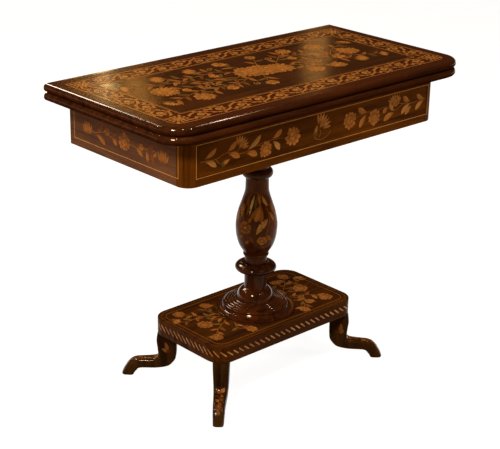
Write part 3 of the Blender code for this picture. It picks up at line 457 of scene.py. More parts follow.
def finished(name, mesh, materials, body, replaced=(), angle=35.0, flat=0.0008):
    """Put a mesh in the scene as a piece, with its hard edges and its large flat faces kept crisp."""
    mesh.shade_smooth()
    mesh.set_sharp_from_angle(angle=radians(angle))
    for face in mesh.polygons:
        if face.area > flat:
            face.use_smooth = False
    mesh.name = name
    kept = [face.material_index for face in mesh.polygons]
    mesh.materials.clear()
    for material in [materials] if isinstance(materials, str) else materials:
        mesh.materials.append(material_of(material))
    mesh.polygons.foreach_set("material_index", kept if len(mesh.materials) > 1 else [0] * len(kept))
    piece = added(name, mesh)
    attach(piece, body)
    if replaced:
        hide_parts(*replaced)
    return piece


def crested(mesh, first=0):
    """Give the faces of one material that don't face up the next one, which is less glossy. These are
    lit and shaded copies of one wood, set by which way a face points: the lamps' highlights show on the
    tops, and the floor's reflection stays off the sides and undersides.
    """
    for face in mesh.polygons:
        if face.material_index == first and face.normal.z <= 0.25:
            face.material_index = first + 1
    return mesh


def dress(material, slot, *nodes):
    """Give CAD nodes that stay in the scene their finish."""
    for node in nodes:
        thing = frame["nodes"][node]
        thing.data.materials.clear()
        thing.data.materials.append(material_of(material))


def mesh_of(work, name="work"):
    mesh = bpy.data.meshes.new(name)
    work.to_mesh(mesh)
    work.free()
    return mesh


def evaluated(thing):
    """The mesh of an object after its modifiers."""
    bpy.context.view_layer.update()
    return bpy.data.meshes.new_from_object(
        thing.evaluated_get(bpy.context.evaluated_depsgraph_get()))


def carved(mesh, *cutters, bevel=0.0, segments=2):
    """The mesh with the cutter meshes taken out, and then its hard edges eased."""
    thing = added("work", mesh)
    tools = [added("cutter", cutter) for cutter in cutters]
    for other in tools:
        modifier = thing.modifiers.new("cut", "BOOLEAN")
        modifier.operation = "DIFFERENCE"
        modifier.solver = "EXACT"
        modifier.object = other
    if bevel:
        ease = thing.modifiers.new("ease", "BEVEL")
        ease.width = bevel
        ease.segments = segments
        ease.limit_method = "ANGLE"
        ease.angle_limit = radians(50)
    made = evaluated(thing)
    for other in [thing, *tools]:
        bpy.data.objects.remove(other, do_unlink=True)
    return made


def box_mesh(low, high):
    work = bmesh.new()
    bmesh.ops.create_cube(work, size=1.0)
    size = Vector(high) - Vector(low)
    bmesh.ops.scale(work, vec=size, verts=work.verts)
    bmesh.ops.translate(work, vec=(Vector(high) + Vector(low)) / 2, verts=work.verts)
    return mesh_of(work)


def rod_mesh(radius, low, high, x, y, sides=32, axis="Z"):
    work = bmesh.new()
    bmesh.ops.create_cone(work, cap_ends=True, segments=sides, radius1=radius, radius2=radius,
                          depth=high - low)
    if axis == "X":
        bmesh.ops.rotate(work, matrix=Matrix.Rotation(pi / 2, 3, "Y"), verts=work.verts)
        bmesh.ops.translate(work, vec=((low + high) / 2, x, y), verts=work.verts)
    else:
        bmesh.ops.translate(work, vec=(x, y, (low + high) / 2), verts=work.verts)
    return mesh_of(work)


def arc(x, y, radius, start, end, steps):
    turns = [radians(start + (end - start) * i / steps) for i in range(steps + 1)]
    return [(x + radius * cos(turn), y + radius * sin(turn)) for turn in turns]


def rounded_plan(left, right, front, back, front_radius, back_radius, steps=16):
    """A rectangle with rounded corners, anticlockwise from the front left."""
    plan = arc(left + front_radius, front + front_radius, front_radius, 180, 270, steps)
    plan += arc(right - front_radius, front + front_radius, front_radius, 270, 360, steps)
    if back_radius:
        plan += arc(right - back_radius, back - back_radius, back_radius, 0, 90, steps)
        plan += arc(left + back_radius, back - back_radius, back_radius, 90, 180, steps)
    else:
        plan += [(right, back), (left, back)]
    return plan


def bridge(work, upper, lower):
    """Faces between two closed rows of vertices."""
    for i in range(len(upper)):
        j = (i + 1) % len(upper)
        work.faces.new((upper[i], lower[i], lower[j], upper[j]))


def prism(plan, low, high):
    """A board with square edges from its plan, listed anticlockwise."""
    work = bmesh.new()
    under = [work.verts.new((x, y, low)) for x, y in plan]
    over = [work.verts.new((x, y, high)) for x, y in plan]
    work.faces.new(under[::-1])
    work.faces.new(over)
    bridge(work, over, under)
    return mesh_of(work)


def lathed(profile, x, y, steps=96):
    """A turning from its profile of radius and height, listed downwards and closed by itself."""
    work = bmesh.new()
    turns = [tau * i / steps for i in range(steps)]
    rings = [[work.verts.new((x + radius * cos(turn), y + radius * sin(turn), height))
              for turn in turns] for radius, height in profile]
    for upper, lower in zip(rings, rings[1:] + rings[:1]):
        bridge(work, upper, lower)
    bmesh.ops.remove_doubles(work, verts=work.verts, dist=1e-7)
    return mesh_of(work)


def through_spline(stations, steps):
    """Points of a smooth curve that passes through the stations, ends included."""
    points = [Vector(station) for station in stations]
    points = [points[0] * 2 - points[1]] + points + [points[-1] * 2 - points[-2]]
    curve = []
    for before, start, end, after in zip(points, points[1:], points[2:], points[3:]):
        for i in range(steps):
            t = i / steps
            bend = (2 * before - 5 * start + 4 * end - after) * t * t
            twist = (3 * start - before - 3 * end + after) * t * t * t
            curve.append((2 * start + (end - before) * t + bend + twist) / 2)
    curve.append(points[-2])
    return [tuple(point) for point in curve]


# Stage

FLOOR_RADIUS, FLOOR_GLOW = 40.0, 0.93
CAMERA_PLACE = (-2.0841, BASE_Y - 2.2203, 1.5829)
CAMERA_TURN = (42.895, 21.637, -1.0056)    # yaw, pitch down and roll, in degrees


def emission_for_eyes(tree, surface, strength):
    """Add a pale glow that only the camera and mirror rays see, so that lamps and shade stay."""
    path = add_node(tree, "ShaderNodeLightPath").outputs
    seen = maths(tree, "MAXIMUM", path["Is Camera Ray"], path["Is Transmission Ray"])
    seen = maths(tree, "MAXIMUM", seen, path["Is Glossy Ray"])
    glow = add_node(tree, "ShaderNodeEmission", in_Color=(1.0, 1.0, 1.0, 1.0),
                    in_Strength=times(tree, seen, strength))
    return add_node(tree, "ShaderNodeAddShader", in_0=surface, in_1=glow.outputs[0]).outputs[0]


def lamp(name, place, aim, width, height, watts, tint):
    data = bpy.data.lights.new(name, "AREA")
    data.shape = "RECTANGLE"
    data.size = width
    data.size_y = height
    data.energy = watts * bpy.context.scene.card_table_stage.lamp_level
    data.color = tint
    thing = added(name, data)
    thing.location = place
    thing.rotation_euler = (Vector(aim) - Vector(place)).to_track_quat("-Z", "Y").to_euler()
    thing.visible_camera = False
    return thing


class CARDTABLE_OT_stage(bpy.types.Operator):
    """Build the pale floor, the dim room, the soft lamps and the camera"""
    bl_idname = "card_table.stage"
    bl_label = "Stage"

    def execute(self, context):
        settings = context.scene.card_table_stage
        work = bmesh.new()
        bmesh.ops.create_circle(work, cap_ends=True, segments=96, radius=FLOOR_RADIUS)
        floor = added("floor", mesh_of(work, "floor"))
        material, tree, shader = new_material("floor")
        fill(tree, shader, Base_Color=(*settings.floor, 1.0), Roughness=0.9, Specular_IOR_Level=0.0)
        lit = emission_for_eyes(tree, shader.outputs[0], FLOOR_GLOW)
        clear = add_node(tree, "ShaderNodeBsdfTransparent").outputs[0]
        under = add_node(tree, "ShaderNodeNewGeometry").outputs["Backfacing"]
        both = add_node(tree, "ShaderNodeMixShader", in_0=under, in_1=lit, in_2=clear)
        fill(tree, tree.nodes["Material Output"], Surface=both.outputs[0])
        floor.data.materials.append(material)

        world = bpy.data.worlds.new("room")
        world.use_nodes = True
        fill(world.node_tree, world.node_tree.nodes["Background"], Color=(*settings.room, 1.0),
             Strength=1.0)
        context.scene.world = world

        warm = (1.0, 0.90, 0.74)
        lamp("key", (-2.9, -1.3, 3.0), (0.0, 0.0, 0.6), 0.6, 0.6, 100.0, warm)
        soft = lamp("fill", (2.6, -2.7, 1.2), (0.0, 0.0, 0.5), 0.5, 0.5, 38.0, warm)
        soft.visible_glossy = False
        lamp("back", (0.4, 3.3, 3.0), (0.0, 0.0, 0.5), 1.0, 0.7, 36.0, warm)
        side = lamp("side", (-3.8, -0.2, 1.3), (0.0, 0.0, 0.6), 0.8, 0.8, 28.0, (1.0, 0.92, 0.84))
        side.visible_glossy = False
        lamp("left_edge", (-0.46, 2.72, 3.68), (-0.45, 0.0, 0.75), 0.10, 1.3, 10.0, warm)
        lamp("front_edge", (2.23, -0.15, 3.86), (-0.3, -0.23, 0.75), 0.9, 0.10, 8.0, warm)
        for number, (turn, far) in enumerate(((-238, 2.6), (-183, 2.2), (-148, 1.7), (-114, 1.8),
                                              (-79, 2.1), (-40, 2.6))):
            turn = radians(turn)
            lamp(f"ceiling_{number + 1}", (far * cos(turn), BASE_Y + far * sin(turn), 3.1),
                 (0.0, 0.0, 0.3), 0.05, 0.05, 6.0, warm)
        lamp("streak", (1.329, 2.410, 1.540), (-0.332, 0.164, 0.76), 0.05, 0.14, 0.21,
             (1.0, 0.66, 0.28))
        for number, y in enumerate((-0.118, -0.032, 0.05, 0.135)):
            lamp(f"end_glare_{number + 1}", (1.237 - 0.35 * y, 2.218 + 1.39 * y, 1.59 - 0.23 * y),
                 (-0.43 + 0.055 * y, y, 0.76), 0.08, 0.08, 0.06, (1.0, 0.50, 0.10))
        lamp("left_glare", (1.405, 2.284, 1.552), (-0.307, 0.081, 0.76), 0.08, 0.12, 0.05,
             (1.0, 0.45, 0.10))
        lamp("right_glare", (2.22, 2.01, 1.48), (0.21, 0.04, 0.76), 0.10, 0.26, 0.10,
             (1.0, 0.48, 0.13))

        data = bpy.data.cameras.new("camera")
        data.sensor_width = 36.0
        data.lens = settings.lens
        data.clip_end = 200.0
        camera = added("camera", data)
        yaw, pitch, roll = (radians(turn) for turn in CAMERA_TURN)
        ahead = Vector((sin(yaw) * cos(pitch), cos(yaw) * cos(pitch), -sin(pitch)))
        level = ahead.cross(Vector((0, 0, 1))).normalized()
        down = ahead.cross(level)
        right = cos(roll) * level + sin(roll) * down
        low = -sin(roll) * level + cos(roll) * down
        place = Matrix((right, -low, -ahead)).transposed().to_4x4()
        place.translation = CAMERA_PLACE
        camera.matrix_world = place
        context.scene.camera = camera
        context.scene.view_settings.view_transform = "Standard"
        return {"FINISHED"}


# Leaves

def hinge_cuts():
    """Seats for both hinges, as in the CAD model."""
    seats = []
    for side in ("left", "right"):
        low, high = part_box(f"hinge_{side}_pin")
        reach = KNUCKLE_RADIUS + RUN + HINGE_PLATE_HEIGHT + FIT
        seats.append(((low.x - FIT, LEAF_BACK - HINGE_PLATE_THICKNESS - FIT, FOLD.z - reach),
                      (high.x + FIT, LEAF_BACK + HINGE_PLATE_THICKNESS, FOLD.z + reach)))
    return seats


def leaf_mesh(low, sink):
    """One leaf with its half-round edge, all in fine steps. The sink lowers its upper face."""
    radius = LEAF_THICKNESS / 2
    high = low + LEAF_THICKNESS
    middle = (low + high) / 2
    steps = 24
    inner = LEAF_CORNER - radius
    corner_y = LEAF_FRONT + LEAF_CORNER
    corner_x = LEAF_END - LEAF_CORNER
    plan = [((-LEAF_END + radius, LEAF_BACK), pi)]
    for centre, start in ((-corner_x, pi), (corner_x, 1.5 * pi)):
        for i in range(steps + 1):
            turn = start + 0.5 * pi * i / steps
            plan.append(((centre + inner * cos(turn), corner_y + inner * sin(turn)), turn))
    plan.append(((LEAF_END - radius, LEAF_BACK), tau))
    work = bmesh.new()
    columns = []
    rounds = 18
    for (x, y), turn in plan:
        column = []
        for k in range(rounds + 1):
            lean = pi / 2 - pi * k / rounds
            column.append(work.verts.new((x + radius * cos(lean) * cos(turn),
                                          y + radius * cos(lean) * sin(turn),
                                          middle + radius * sin(lean))))
        columns.append(column)
    for one, two in zip(columns, columns[1:]):
        for k in range(rounds):
            work.faces.new((one[k], one[k + 1], two[k + 1], two[k]))
    work.faces.new([column[0] for column in columns])
    work.faces.new([column[-1] for column in reversed(columns)])
    work.faces.new(list(columns[-1]) + list(reversed(columns[0])))
    for vert in work.verts:
        vert.co.z = min(vert.co.z, high - sink)
    bmesh.ops.recalc_face_normals(work, faces=work.faces)
    return mesh_of(work)


def baize_plan():
    half = LEAF_END - BAIZE_MARGIN
    return rounded_plan(-half, half, LEAF_FRONT + BAIZE_MARGIN, LEAF_BACK - BAIZE_HINGE_MARGIN,
                        BAIZE_CORNER, BAIZE_CORNER, 6)


class CARDTABLE_OT_leaves(bpy.types.Operator):
    """Build the two leaves with half-round edges, hinge seats and the recess for the baize"""
    bl_idname = "card_table.leaves"
    bl_label = "Leaves"

    def execute(self, context):
        seats = [box_mesh(low, high) for low, high in hinge_cuts()]
        grooves = [rod_mesh(KNUCKLE_RADIUS + RUN, low[0], high[0], FOLD.y, FOLD.z, 24, "X")
                   for low, high in hinge_cuts()]
        upper_low = TOP_HIGH.z - LEAF_THICKNESS
        pocket = prism(baize_plan(), upper_low - FIT, upper_low + BAIZE_RECESS)
        upper = carved(leaf_mesh(upper_low, GROUND_SINK), pocket,
                       *[seat.copy() for seat in seats], *[groove.copy() for groove in grooves])
        for face in upper.polygons:
            face.material_index = 0 if face.center.z > TOP_HIGH.z - 2 * GROUND_SINK else 1
        finished("upper_leaf_board", crested(upper, 1),
                 ("top_ground", "leaf_crest", "leaf_edge"), "folding_leaf",
                 ["upper_leaf"])
        lower_top = LOWER_LOW.z + LEAF_THICKNESS
        pocket = prism(baize_plan(), lower_top - BAIZE_RECESS, lower_top + FIT)
        half = SWIVEL_SIDE / 2 + FIT
        plate = box_mesh((SWIVEL.x - half, SWIVEL.y - half, LOWER_LOW.z - FIT),
                         (SWIVEL.x + half, SWIVEL.y + half,
                          LOWER_LOW.z + SWIVEL_THICKNESS + FIT))
        head_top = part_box("pivot_bolt")[1].z
        head = rod_mesh(PIVOT_HEAD_RADIUS + FIT, LOWER_LOW.z + SWIVEL_THICKNESS, head_top + FIT,
                        SWIVEL.x, SWIVEL.y)
        peg_low, peg_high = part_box("stop_peg")
        peg = rod_mesh((peg_high.x - peg_low.x) / 2 + FIT, LOWER_LOW.z - FIT, peg_high.z + FIT,
                       (peg_low.x + peg_high.x) / 2, (peg_low.y + peg_high.y) / 2, 20)
        lower = carved(leaf_mesh(LOWER_LOW.z, 0.0), pocket, plate, head, peg, *seats, *grooves)
        finished("lower_leaf_board", crested(lower), ("leaf_crest", "leaf_edge"), "turning_top",
                 ["lower_leaf"])
        return {"FINISHED"}


CLOTH_STEP = 0.010
CLOTH_THICKNESS = 0.85   # as a share of the CAD solid's


def sheet_grid(low, high, thickness, ripple):
    """A laid cloth: a closed, thin grid from height 0 with a slight unevenness on top."""
    columns, rows = round((high.x - low.x) / CLOTH_STEP), round((high.y - low.y) / CLOTH_STEP)
    work = bmesh.new()
    layers = []
    for k in (0, 1):
        layer = []
        for j in range(rows + 1):
            line = []
            for i in range(columns + 1):
                x = low.x + (high.x - low.x) * i / columns
                y = low.y + (high.y - low.y) * j / rows
                rise = ripple * noise.noise(Vector((x * 35, y * 35, 3.0))) if k else 0.0
                line.append(work.verts.new((x, y, k * thickness + rise)))
            layer.append(line)
        layers.append(layer)
    for j in range(rows):
        for i in range(columns):
            for layer, flip in ((layers[0], True), (layers[1], False)):
                ring = [layer[j][i], layer[j][i + 1], layer[j + 1][i + 1], layer[j + 1][i]]
                work.faces.new(ring[::-1] if flip else ring)
    bottom, top = layers
    rim = [(j, 0) for j in range(rows, 0, -1)] + [(0, i) for i in range(columns)]
    rim += [(j, columns) for j in range(rows)] + [(rows, i) for i in range(columns, 0, -1)]
    for (a, b), (c, d) in zip(rim, rim[1:] + rim[:1]):
        work.faces.new((bottom[a][b], bottom[c][d], top[c][d], top[a][b]))
    return work


class CARDTABLE_OT_baize(bpy.types.Operator):
    """Lay the baize in both leaves and the lining on the floor of the well"""
    bl_idname = "card_table.baize"
    bl_label = "Baize"

    def execute(self, context):
        nap = context.scene.card_table_baize.nap
        for node, body, under in (("upper_baize", "folding_leaf", "upper_leaf_board"),
                                  ("lower_baize", "turning_top", "lower_leaf_board"),
                                  ("well_lining", "base", "bottom_board")):
            low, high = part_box(node)
            work = sheet_grid(low, high, (high.z - low.z) * CLOTH_THICKNESS, nap)
            face_down = node == "upper_baize"
            for vert in work.verts:
                vert.co.z = high.z - vert.co.z if face_down else low.z + vert.co.z
            if face_down:
                bmesh.ops.reverse_faces(work, faces=work.faces)
            cuts = []
            if node == "well_lining":
                post_x = -(FRIEZE_END - POST_SIDE - FIT)
                cuts.append(box_mesh((low.x - 0.01, low.y - 0.01, low.z - 0.01),
                                     (post_x, FRIEZE_FRONT + POST_SIDE + FIT, high.z + 0.01)))
            piece = finished(node + "_cloth", carved(mesh_of(work), *cuts), "baize", body, [node],
                             60.0, 1.0)
        return {"FINISHED"}


# Frieze box

RAIL_EASE, BOARD_EASE, BLOCK_EASE = 0.0004, 0.0008, 0.003


def board_piece(name, node, material, ease=BOARD_EASE):
    """A plain board of the base in the place of its CAD box, with eased edges."""
    mesh = carved(box_mesh(*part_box(node)), bevel=ease, segments=3)
    finished(name, mesh, material, "base", [node])


class CARDTABLE_OT_frieze(bpy.types.Operator):
    """Build the four rails and the rounded corner posts of the box"""
    bl_idname = "card_table.frieze"
    bl_label = "Box rails and posts"

    def execute(self, context):
        for side, material, slot, ease in (("front", "frieze_x", "inlaid_wood", RAIL_EASE),
                                           ("back", "mahogany_x", "mahogany", BOARD_EASE),
                                           ("left", "frieze_y", "inlaid_wood", RAIL_EASE),
                                           ("right", "frieze_y", "inlaid_wood", RAIL_EASE)):
            board_piece(f"{side}_rail_board", f"frieze_{side}_rail", material, ease)
        for side, sign in (("left", -1), ("right", 1)):
            post_x = FRIEZE_END - POST_SIDE
            post_y = FRIEZE_FRONT + POST_SIDE
            outside = arc(-(FRIEZE_END - POST_RADIUS), FRIEZE_FRONT + POST_RADIUS, POST_RADIUS,
                          180, 270, 24)
            plan = [(-FRIEZE_END, post_y)] + outside + [(-post_x, FRIEZE_FRONT), (-post_x, post_y)]
            if sign > 0:
                plan = [(-x, y) for x, y in reversed(plan)]
            mesh = carved(prism(plan, FRIEZE_LOW, FRIEZE_HIGH), bevel=RAIL_EASE)
            finished(f"{side}_corner_post", mesh, "frieze_z", "base",
                     [f"corner_post_{side}"])
        return {"FINISHED"}


class CARDTABLE_OT_well(bpy.types.Operator):
    """Build the partition, cleats and glue blocks, and finish the boards inside the box"""
    bl_idname = "card_table.well"
    bl_label = "Inside of the box"

    def execute(self, context):
        board_piece("well_partition_board", "well_partition", "mahogany_y")
        for side in ("front", "back"):
            board_piece(f"pivot_{side}_cleat", f"pivot_board_cleat_{side}", "pine_x")
            for end in ("left", "right"):
                board_piece(f"{side}_{end}_glue_block", f"glue_block_{side}_{end}", "pine_x",
                            BLOCK_EASE)
        dress("pine_x", "pine", "bottom_board")
        dress("pine_y", "pine", "pivot_board")
        return {"FINISHED"}


class CARDTABLE_OT_ironwork(bpy.types.Operator):
    """Finish the hinges, swivel, tie rod and screws"""
    bl_idname = "card_table.ironwork"
    bl_label = "Hinges and ironwork"

    def execute(self, context):
        hinges = [f"hinge_{side}_{kind}" for side in ("left", "right")
                  for kind in ("upper_plate", "lower_plate", "pin")]
        dress("brass", "brass", *hinges, "stop_peg")
        dress("iron", "iron", "swivel_plate", "pivot_bolt", "pivot_washer", "pivot_nut", "tie_rod",
              *[f"cleat_screw_{number}" for number in (1, 2, 3, 4)],
              *[f"tie_rod_{end}_{kind}" for end in ("top", "low") for kind in ("washer", "nut")])
        return {"FINISHED"}


# Column: sizes as in the CAD source

CAP_RADIUS, CAP_HEIGHT = 0.052, 0.011
NECK_RADIUS = 0.029
VASE_NECK, VASE_FOOT = 0.0278, 0.0272
COLLAR_RADIUS, COLLAR_HALF = 0.0378, 0.0115
BEAD_RADIUS, BEAD_HALF = 0.0313, 0.004
DISC_RADIUS, DISC_HALF = 0.0506, 0.0125
DOME_RADIUS, RIM_RADIUS, PLINTH_RADIUS = 0.0452, 0.0800, 0.0980
BELLY = ((0.0500, 1.0), (0.1660, 1.054), (0.2830, 1.331), (0.4010, 1.633), (0.5190, 1.788),
         (0.6060, 1.799), (0.6980, 1.712), (0.7860, 1.511), (0.8560, 1.194), (0.8880, 1.043))


def cushion(middle, half_height, core, radius, steps):
    """A rounded ring of a turning, listed downwards from its core to its core."""
    turns = [pi / 2 - pi * i / steps for i in range(steps + 1)]
    return [(core + (radius - core) * cos(turn), middle + half_height * sin(turn)) for turn in turns]


def heights(node):
    low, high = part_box(node)
    return low.z, high.z


def collar_profile():
    bottom, top = heights("column_collar")
    cove = CAP_RADIUS - NECK_RADIUS - CAP_HEIGHT / 3
    profile = cushion(top - CAP_HEIGHT / 2, CAP_HEIGHT / 2, CAP_RADIUS - CAP_HEIGHT / 3,
                      CAP_RADIUS, 14)
    for i in range(14):
        turn = radians(8 + 82 * i / 13)
        profile.append((NECK_RADIUS + cove * (1 - sin(turn)),
                        top - CAP_HEIGHT - cove * (1 - cos(turn))))
    return profile + cushion(bottom + COLLAR_HALF, COLLAR_HALF, VASE_NECK, COLLAR_RADIUS, 24)


def vase_belly():
    """The vase's outline from its neck to above its bead."""
    bottom, top = heights("column_vase")
    stations = [(VASE_NECK * share, top - (top - bottom) * drop) for drop, share in BELLY]
    return [(VASE_NECK, top)] + through_spline(stations, 10)


def vase_profile():
    bottom, top = heights("column_vase")
    bead = bottom + (top - bottom) * 0.0945
    return vase_belly() + cushion(bead, BEAD_HALF, VASE_FOOT, BEAD_RADIUS, 12) + [(VASE_FOOT, bottom)]


def disc_profile():
    bottom, top = heights("column_disc")
    ring = cushion((top + bottom) / 2, DISC_HALF, VASE_FOOT, DISC_RADIUS, 28)
    return [(VASE_FOOT, top)] + ring + [(VASE_FOOT, bottom)]


def base_profile():
    """A neck, a dome, four stepped reeds, a round rim and a flared plinth."""
    bottom, top = heights("column_base")
    height = top - bottom
    dome_low, dome_high = bottom + 0.276 * height, bottom + 0.558 * height
    profile = [(VASE_FOOT, top), (VASE_FOOT, dome_high + 0.016 * height)]
    for i in range(17):
        turn = radians(8 + 82 * i / 16)
        profile.append((VASE_FOOT + (DOME_RADIUS - VASE_FOOT) * sin(turn),
                        dome_low + (dome_high - dome_low) * cos(turn)))
    step = (RIM_RADIUS - DOME_RADIUS) / 4
    reed = (RIM_RADIUS - 0.30 * step - DOME_RADIUS) / 4
    for ring in range(4):
        for i in range(9):
            level = 0.262 - 0.0225 * (ring + i / 8) + 0.017 * sin(pi * i / 8)
            profile.append((DOME_RADIUS + reed * (ring + 0.04 + 0.92 * i / 8),
                            bottom + level * height))
    rim = [(0.30, 0.1740), (0.10, 0.1665), (0.0, 0.1496), (0.04, 0.1290), (0.20, 0.1106)]
    profile += through_spline([(RIM_RADIUS - inset * step, bottom + level * height)
                               for inset, level in rim], 6)
    flare = PLINTH_RADIUS - RIM_RADIUS
    foot = [(0.0, 0.0850), (0.08, 0.0600), (0.34, 0.0420), (0.955, 0.0345), (1.0, 0.0270)]
    profile += through_spline([(RIM_RADIUS + share * flare, bottom + level * height)
                               for share, level in foot], 6)
    return profile + [(PLINTH_RADIUS, bottom)]


class CARDTABLE_OT_column(bpy.types.Operator):
    """Turn the four pieces of the column and give the cleat that carries the box its finish"""
    bl_idname = "card_table.column"
    bl_label = "Column"

    def execute(self, context):
        for name, node, profile, material, slot in (
                ("collar_turning", "column_collar", collar_profile(), "turned", "dark_wood"),
                ("vase_turning", "column_vase", vase_profile(), "vase", "inlaid_wood"),
                ("disc_turning", "column_disc", disc_profile(), "turned", "dark_wood"),
                ("base_turning", "column_base", base_profile(), "turned", "dark_wood")):
            bored = profile + [(ROD_HOLE, profile[-1][1]), (ROD_HOLE, profile[0][1])]
            mesh = lathed(bored, 0.0, BASE_Y)
            if material == "turned":
                mesh, material = crested(mesh), ("turned", "turned_side")
            finished(name, mesh, material, "base", [node], 32.0, 1.0)
        dress("mahogany_x", "mahogany", "pedestal_cleat")
        return {"FINISHED"}


# Platform and feet

def platform_plan(inset=0.0, steps=24):
    """The platform's outline, so far in from its edges."""
    low, high, corner = PLATFORM_LOW, PLATFORM_HIGH, PLATFORM_CORNER - inset
    return rounded_plan(low.x + inset, high.x - inset, low.y + inset, high.y - inset, corner,
                        corner, steps)


class CARDTABLE_OT_platform(bpy.types.Operator):
    """Build the platform with its rounded corners"""
    bl_idname = "card_table.platform"
    bl_label = "Platform"

    def execute(self, context):
        low, high = PLATFORM_LOW, PLATFORM_HIGH
        cuts = [rod_mesh(ROD_HOLE, low.z - FIT, high.z + FIT, 0.0, BASE_Y),
                rod_mesh(ROD_RECESS_RADIUS, low.z - FIT, low.z + ROD_RECESS_DEPTH, 0.0, BASE_Y)]
        for x_sign in (-1, 1):
            for y_sign in (-1, 1):
                cuts.append(rod_mesh(DOWEL_RADIUS + FIT, low.z - FIT, low.z + DOWEL_DEPTH + FIT,
                                     x_sign * LEG_X, BASE_Y + y_sign * LEG_Y, 24))
        mesh = carved(prism(platform_plan(), low.z, high.z - GROUND_SINK), *cuts, bevel=0.0012,
                      segments=3)
        finished("platform_board", mesh, "platform", "base", ["platform"])
        return {"FINISHED"}


# Sizes of a foot, as in the CAD source
LEG_THICKNESS, KNEE_SWELL, FOOT_REACH, SOLE_LENGTH = 0.045, 0.0022, 0.1114, 0.029
ARM_RISE, ARM_THICKNESS = 0.0195, 0.0255
FOOT_TOP_WIDTH, FOOT_TOE_WIDTH, FOOT_EDGE = 0.0405, 0.0245, 0.0075


def foot_lines(steps):
    """Side view of a foot, as distance out along the diagonal and height: inner and outer line."""
    top = PLATFORM_LOW.z - FIT
    half, arm, rise = LEG_THICKNESS / 2, ARM_THICKNESS, ARM_RISE
    arm_top = rise + arm
    leg = top - arm_top
    toe = FOOT_REACH
    heel = toe - SOLE_LENGTH
    outer = [(toe, 0.15 * rise), (toe - 0.22 * arm, 0.36 * arm_top),
             (toe - 0.70 * arm, 0.73 * arm_top), (toe - 1.33 * arm, 0.945 * arm_top),
             (half + arm, arm_top), (half + 0.27 * arm, arm_top + 0.09 * arm),
             (half - 0.04 * arm, arm_top + 0.39 * arm), (half, arm_top + 0.42 * leg),
             (half + KNEE_SWELL, arm_top + 0.72 * leg), (half - 0.02 * arm, top)]
    inner = [(-half, top), (-half - 0.05 * arm, top - 0.45 * leg), (-half, rise + 1.33 * arm),
             (-half + 0.28 * arm, rise + 0.78 * arm), (-half + 0.78 * arm, rise + 0.33 * arm),
             (half + 0.08 * arm, rise + 0.08 * arm), (heel - 0.70 * arm, rise - 0.02 * arm),
             (heel - 0.29 * arm, rise - 0.31 * arm), (heel - 0.06 * arm, 0.18 * rise), (heel, 0.0)]
    return through_spline(inner, steps), through_spline(outer, steps)


def foot_width(out, height):
    slope = (FOOT_TOP_WIDTH - FOOT_TOE_WIDTH) / (PLATFORM_LOW.z + FOOT_REACH)
    return FOOT_TOP_WIDTH - slope * (PLATFORM_LOW.z - height + out)


FEET = (("front_left", -1, -1), ("front_right", 1, -1), ("back_left", -1, 1), ("back_right", 1, 1))


def foot_place(x_sign, y_sign):
    bearing = atan2(y_sign, x_sign)
    return Matrix.Translation((x_sign * LEG_X, BASE_Y + y_sign * LEG_Y, 0.0)) @ Matrix.Rotation(
        bearing, 4, "Z")


def foot_mesh():
    """A foot as a row of rounded sections from its top down to its sole."""
    inner, outer = foot_lines(7)
    pairs = list(zip(inner, outer[::-1]))
    pairs.append((inner[-1], (FOOT_REACH - 0.06 * ARM_THICKNESS, 0.0)))
    work = bmesh.new()
    rings = []
    for (near, low), (far, high) in pairs:
        half = hypot(far - near, high - low) / 2
        along, up = (far - near) / (2 * half), (high - low) / (2 * half)
        radius = min(FOOT_EDGE, half * 0.6)
        ring = []
        side = FOOT_TOP_WIDTH / 2
        for x, y in rounded_plan(-half, half, -side, side, radius, radius, 6):
            out, height = (near + far) / 2 + along * x, (low + high) / 2 + up * x
            narrow = (FOOT_TOP_WIDTH - foot_width(out, height)) / 2
            ring.append(work.verts.new((out, y - narrow if y > 0 else y + narrow, height)))
        rings.append(ring)
    for upper, lower in zip(rings, rings[1:]):
        bridge(work, upper, lower)
    work.faces.new(rings[0])
    work.faces.new(rings[-1][::-1])
    bmesh.ops.remove_doubles(work, verts=work.verts, dist=1e-6)
    bmesh.ops.recalc_face_normals(work, faces=work.faces)
    return mesh_of(work)


class CARDTABLE_OT_feet(bpy.types.Operator):
    """Build the four scroll feet"""
    bl_idname = "card_table.feet"
    bl_label = "Feet"

    def execute(self, context):
        eased = foot_mesh()
        for name, x_sign, y_sign in FEET:
            mesh = eased.copy()
            mesh.transform(foot_place(x_sign, y_sign))
            finished(f"{name}_foot", crested(mesh), ("foot_crest", "foot"), "base",
                     [f"foot_{name}"], 40.0, 0.0012)
            dress("mahogany_z", "mahogany", f"foot_dowel_{name}")
        return {"FINISHED"}


# Inlay

def tapered(count, shape):
    """Stations from 0 to 1, close together at both ends, with the half-width at each."""
    places = [(1 - cos(pi * i / count)) / 2 for i in range(count + 1)]
    return places, [max(0.0, shape(t)) for t in places]


def leaf_shape(t):
    return sin(pi * t) ** 0.85 * (1.22 - 0.44 * t)


def petal_shape(t):
    return t ** 0.7 * sqrt(max(0.0, 1 - t ** 5))


def blade_shape(t):
    return sin(pi * min(1.0, t * 0.86 + 0.14)) ** 0.7


def club_shape(t):
    return sin(pi * min(1.0, t) ** 1.5) ** 0.75


LAYER_STEP = 0.000024    # height of one layer of the inlay; no two pieces that meet are level
THINNEST = 0.00012       # half-width of the inlay's sharp ends
TONE_SPREAD = 0.10       # how far like pieces differ in brightness, by chance


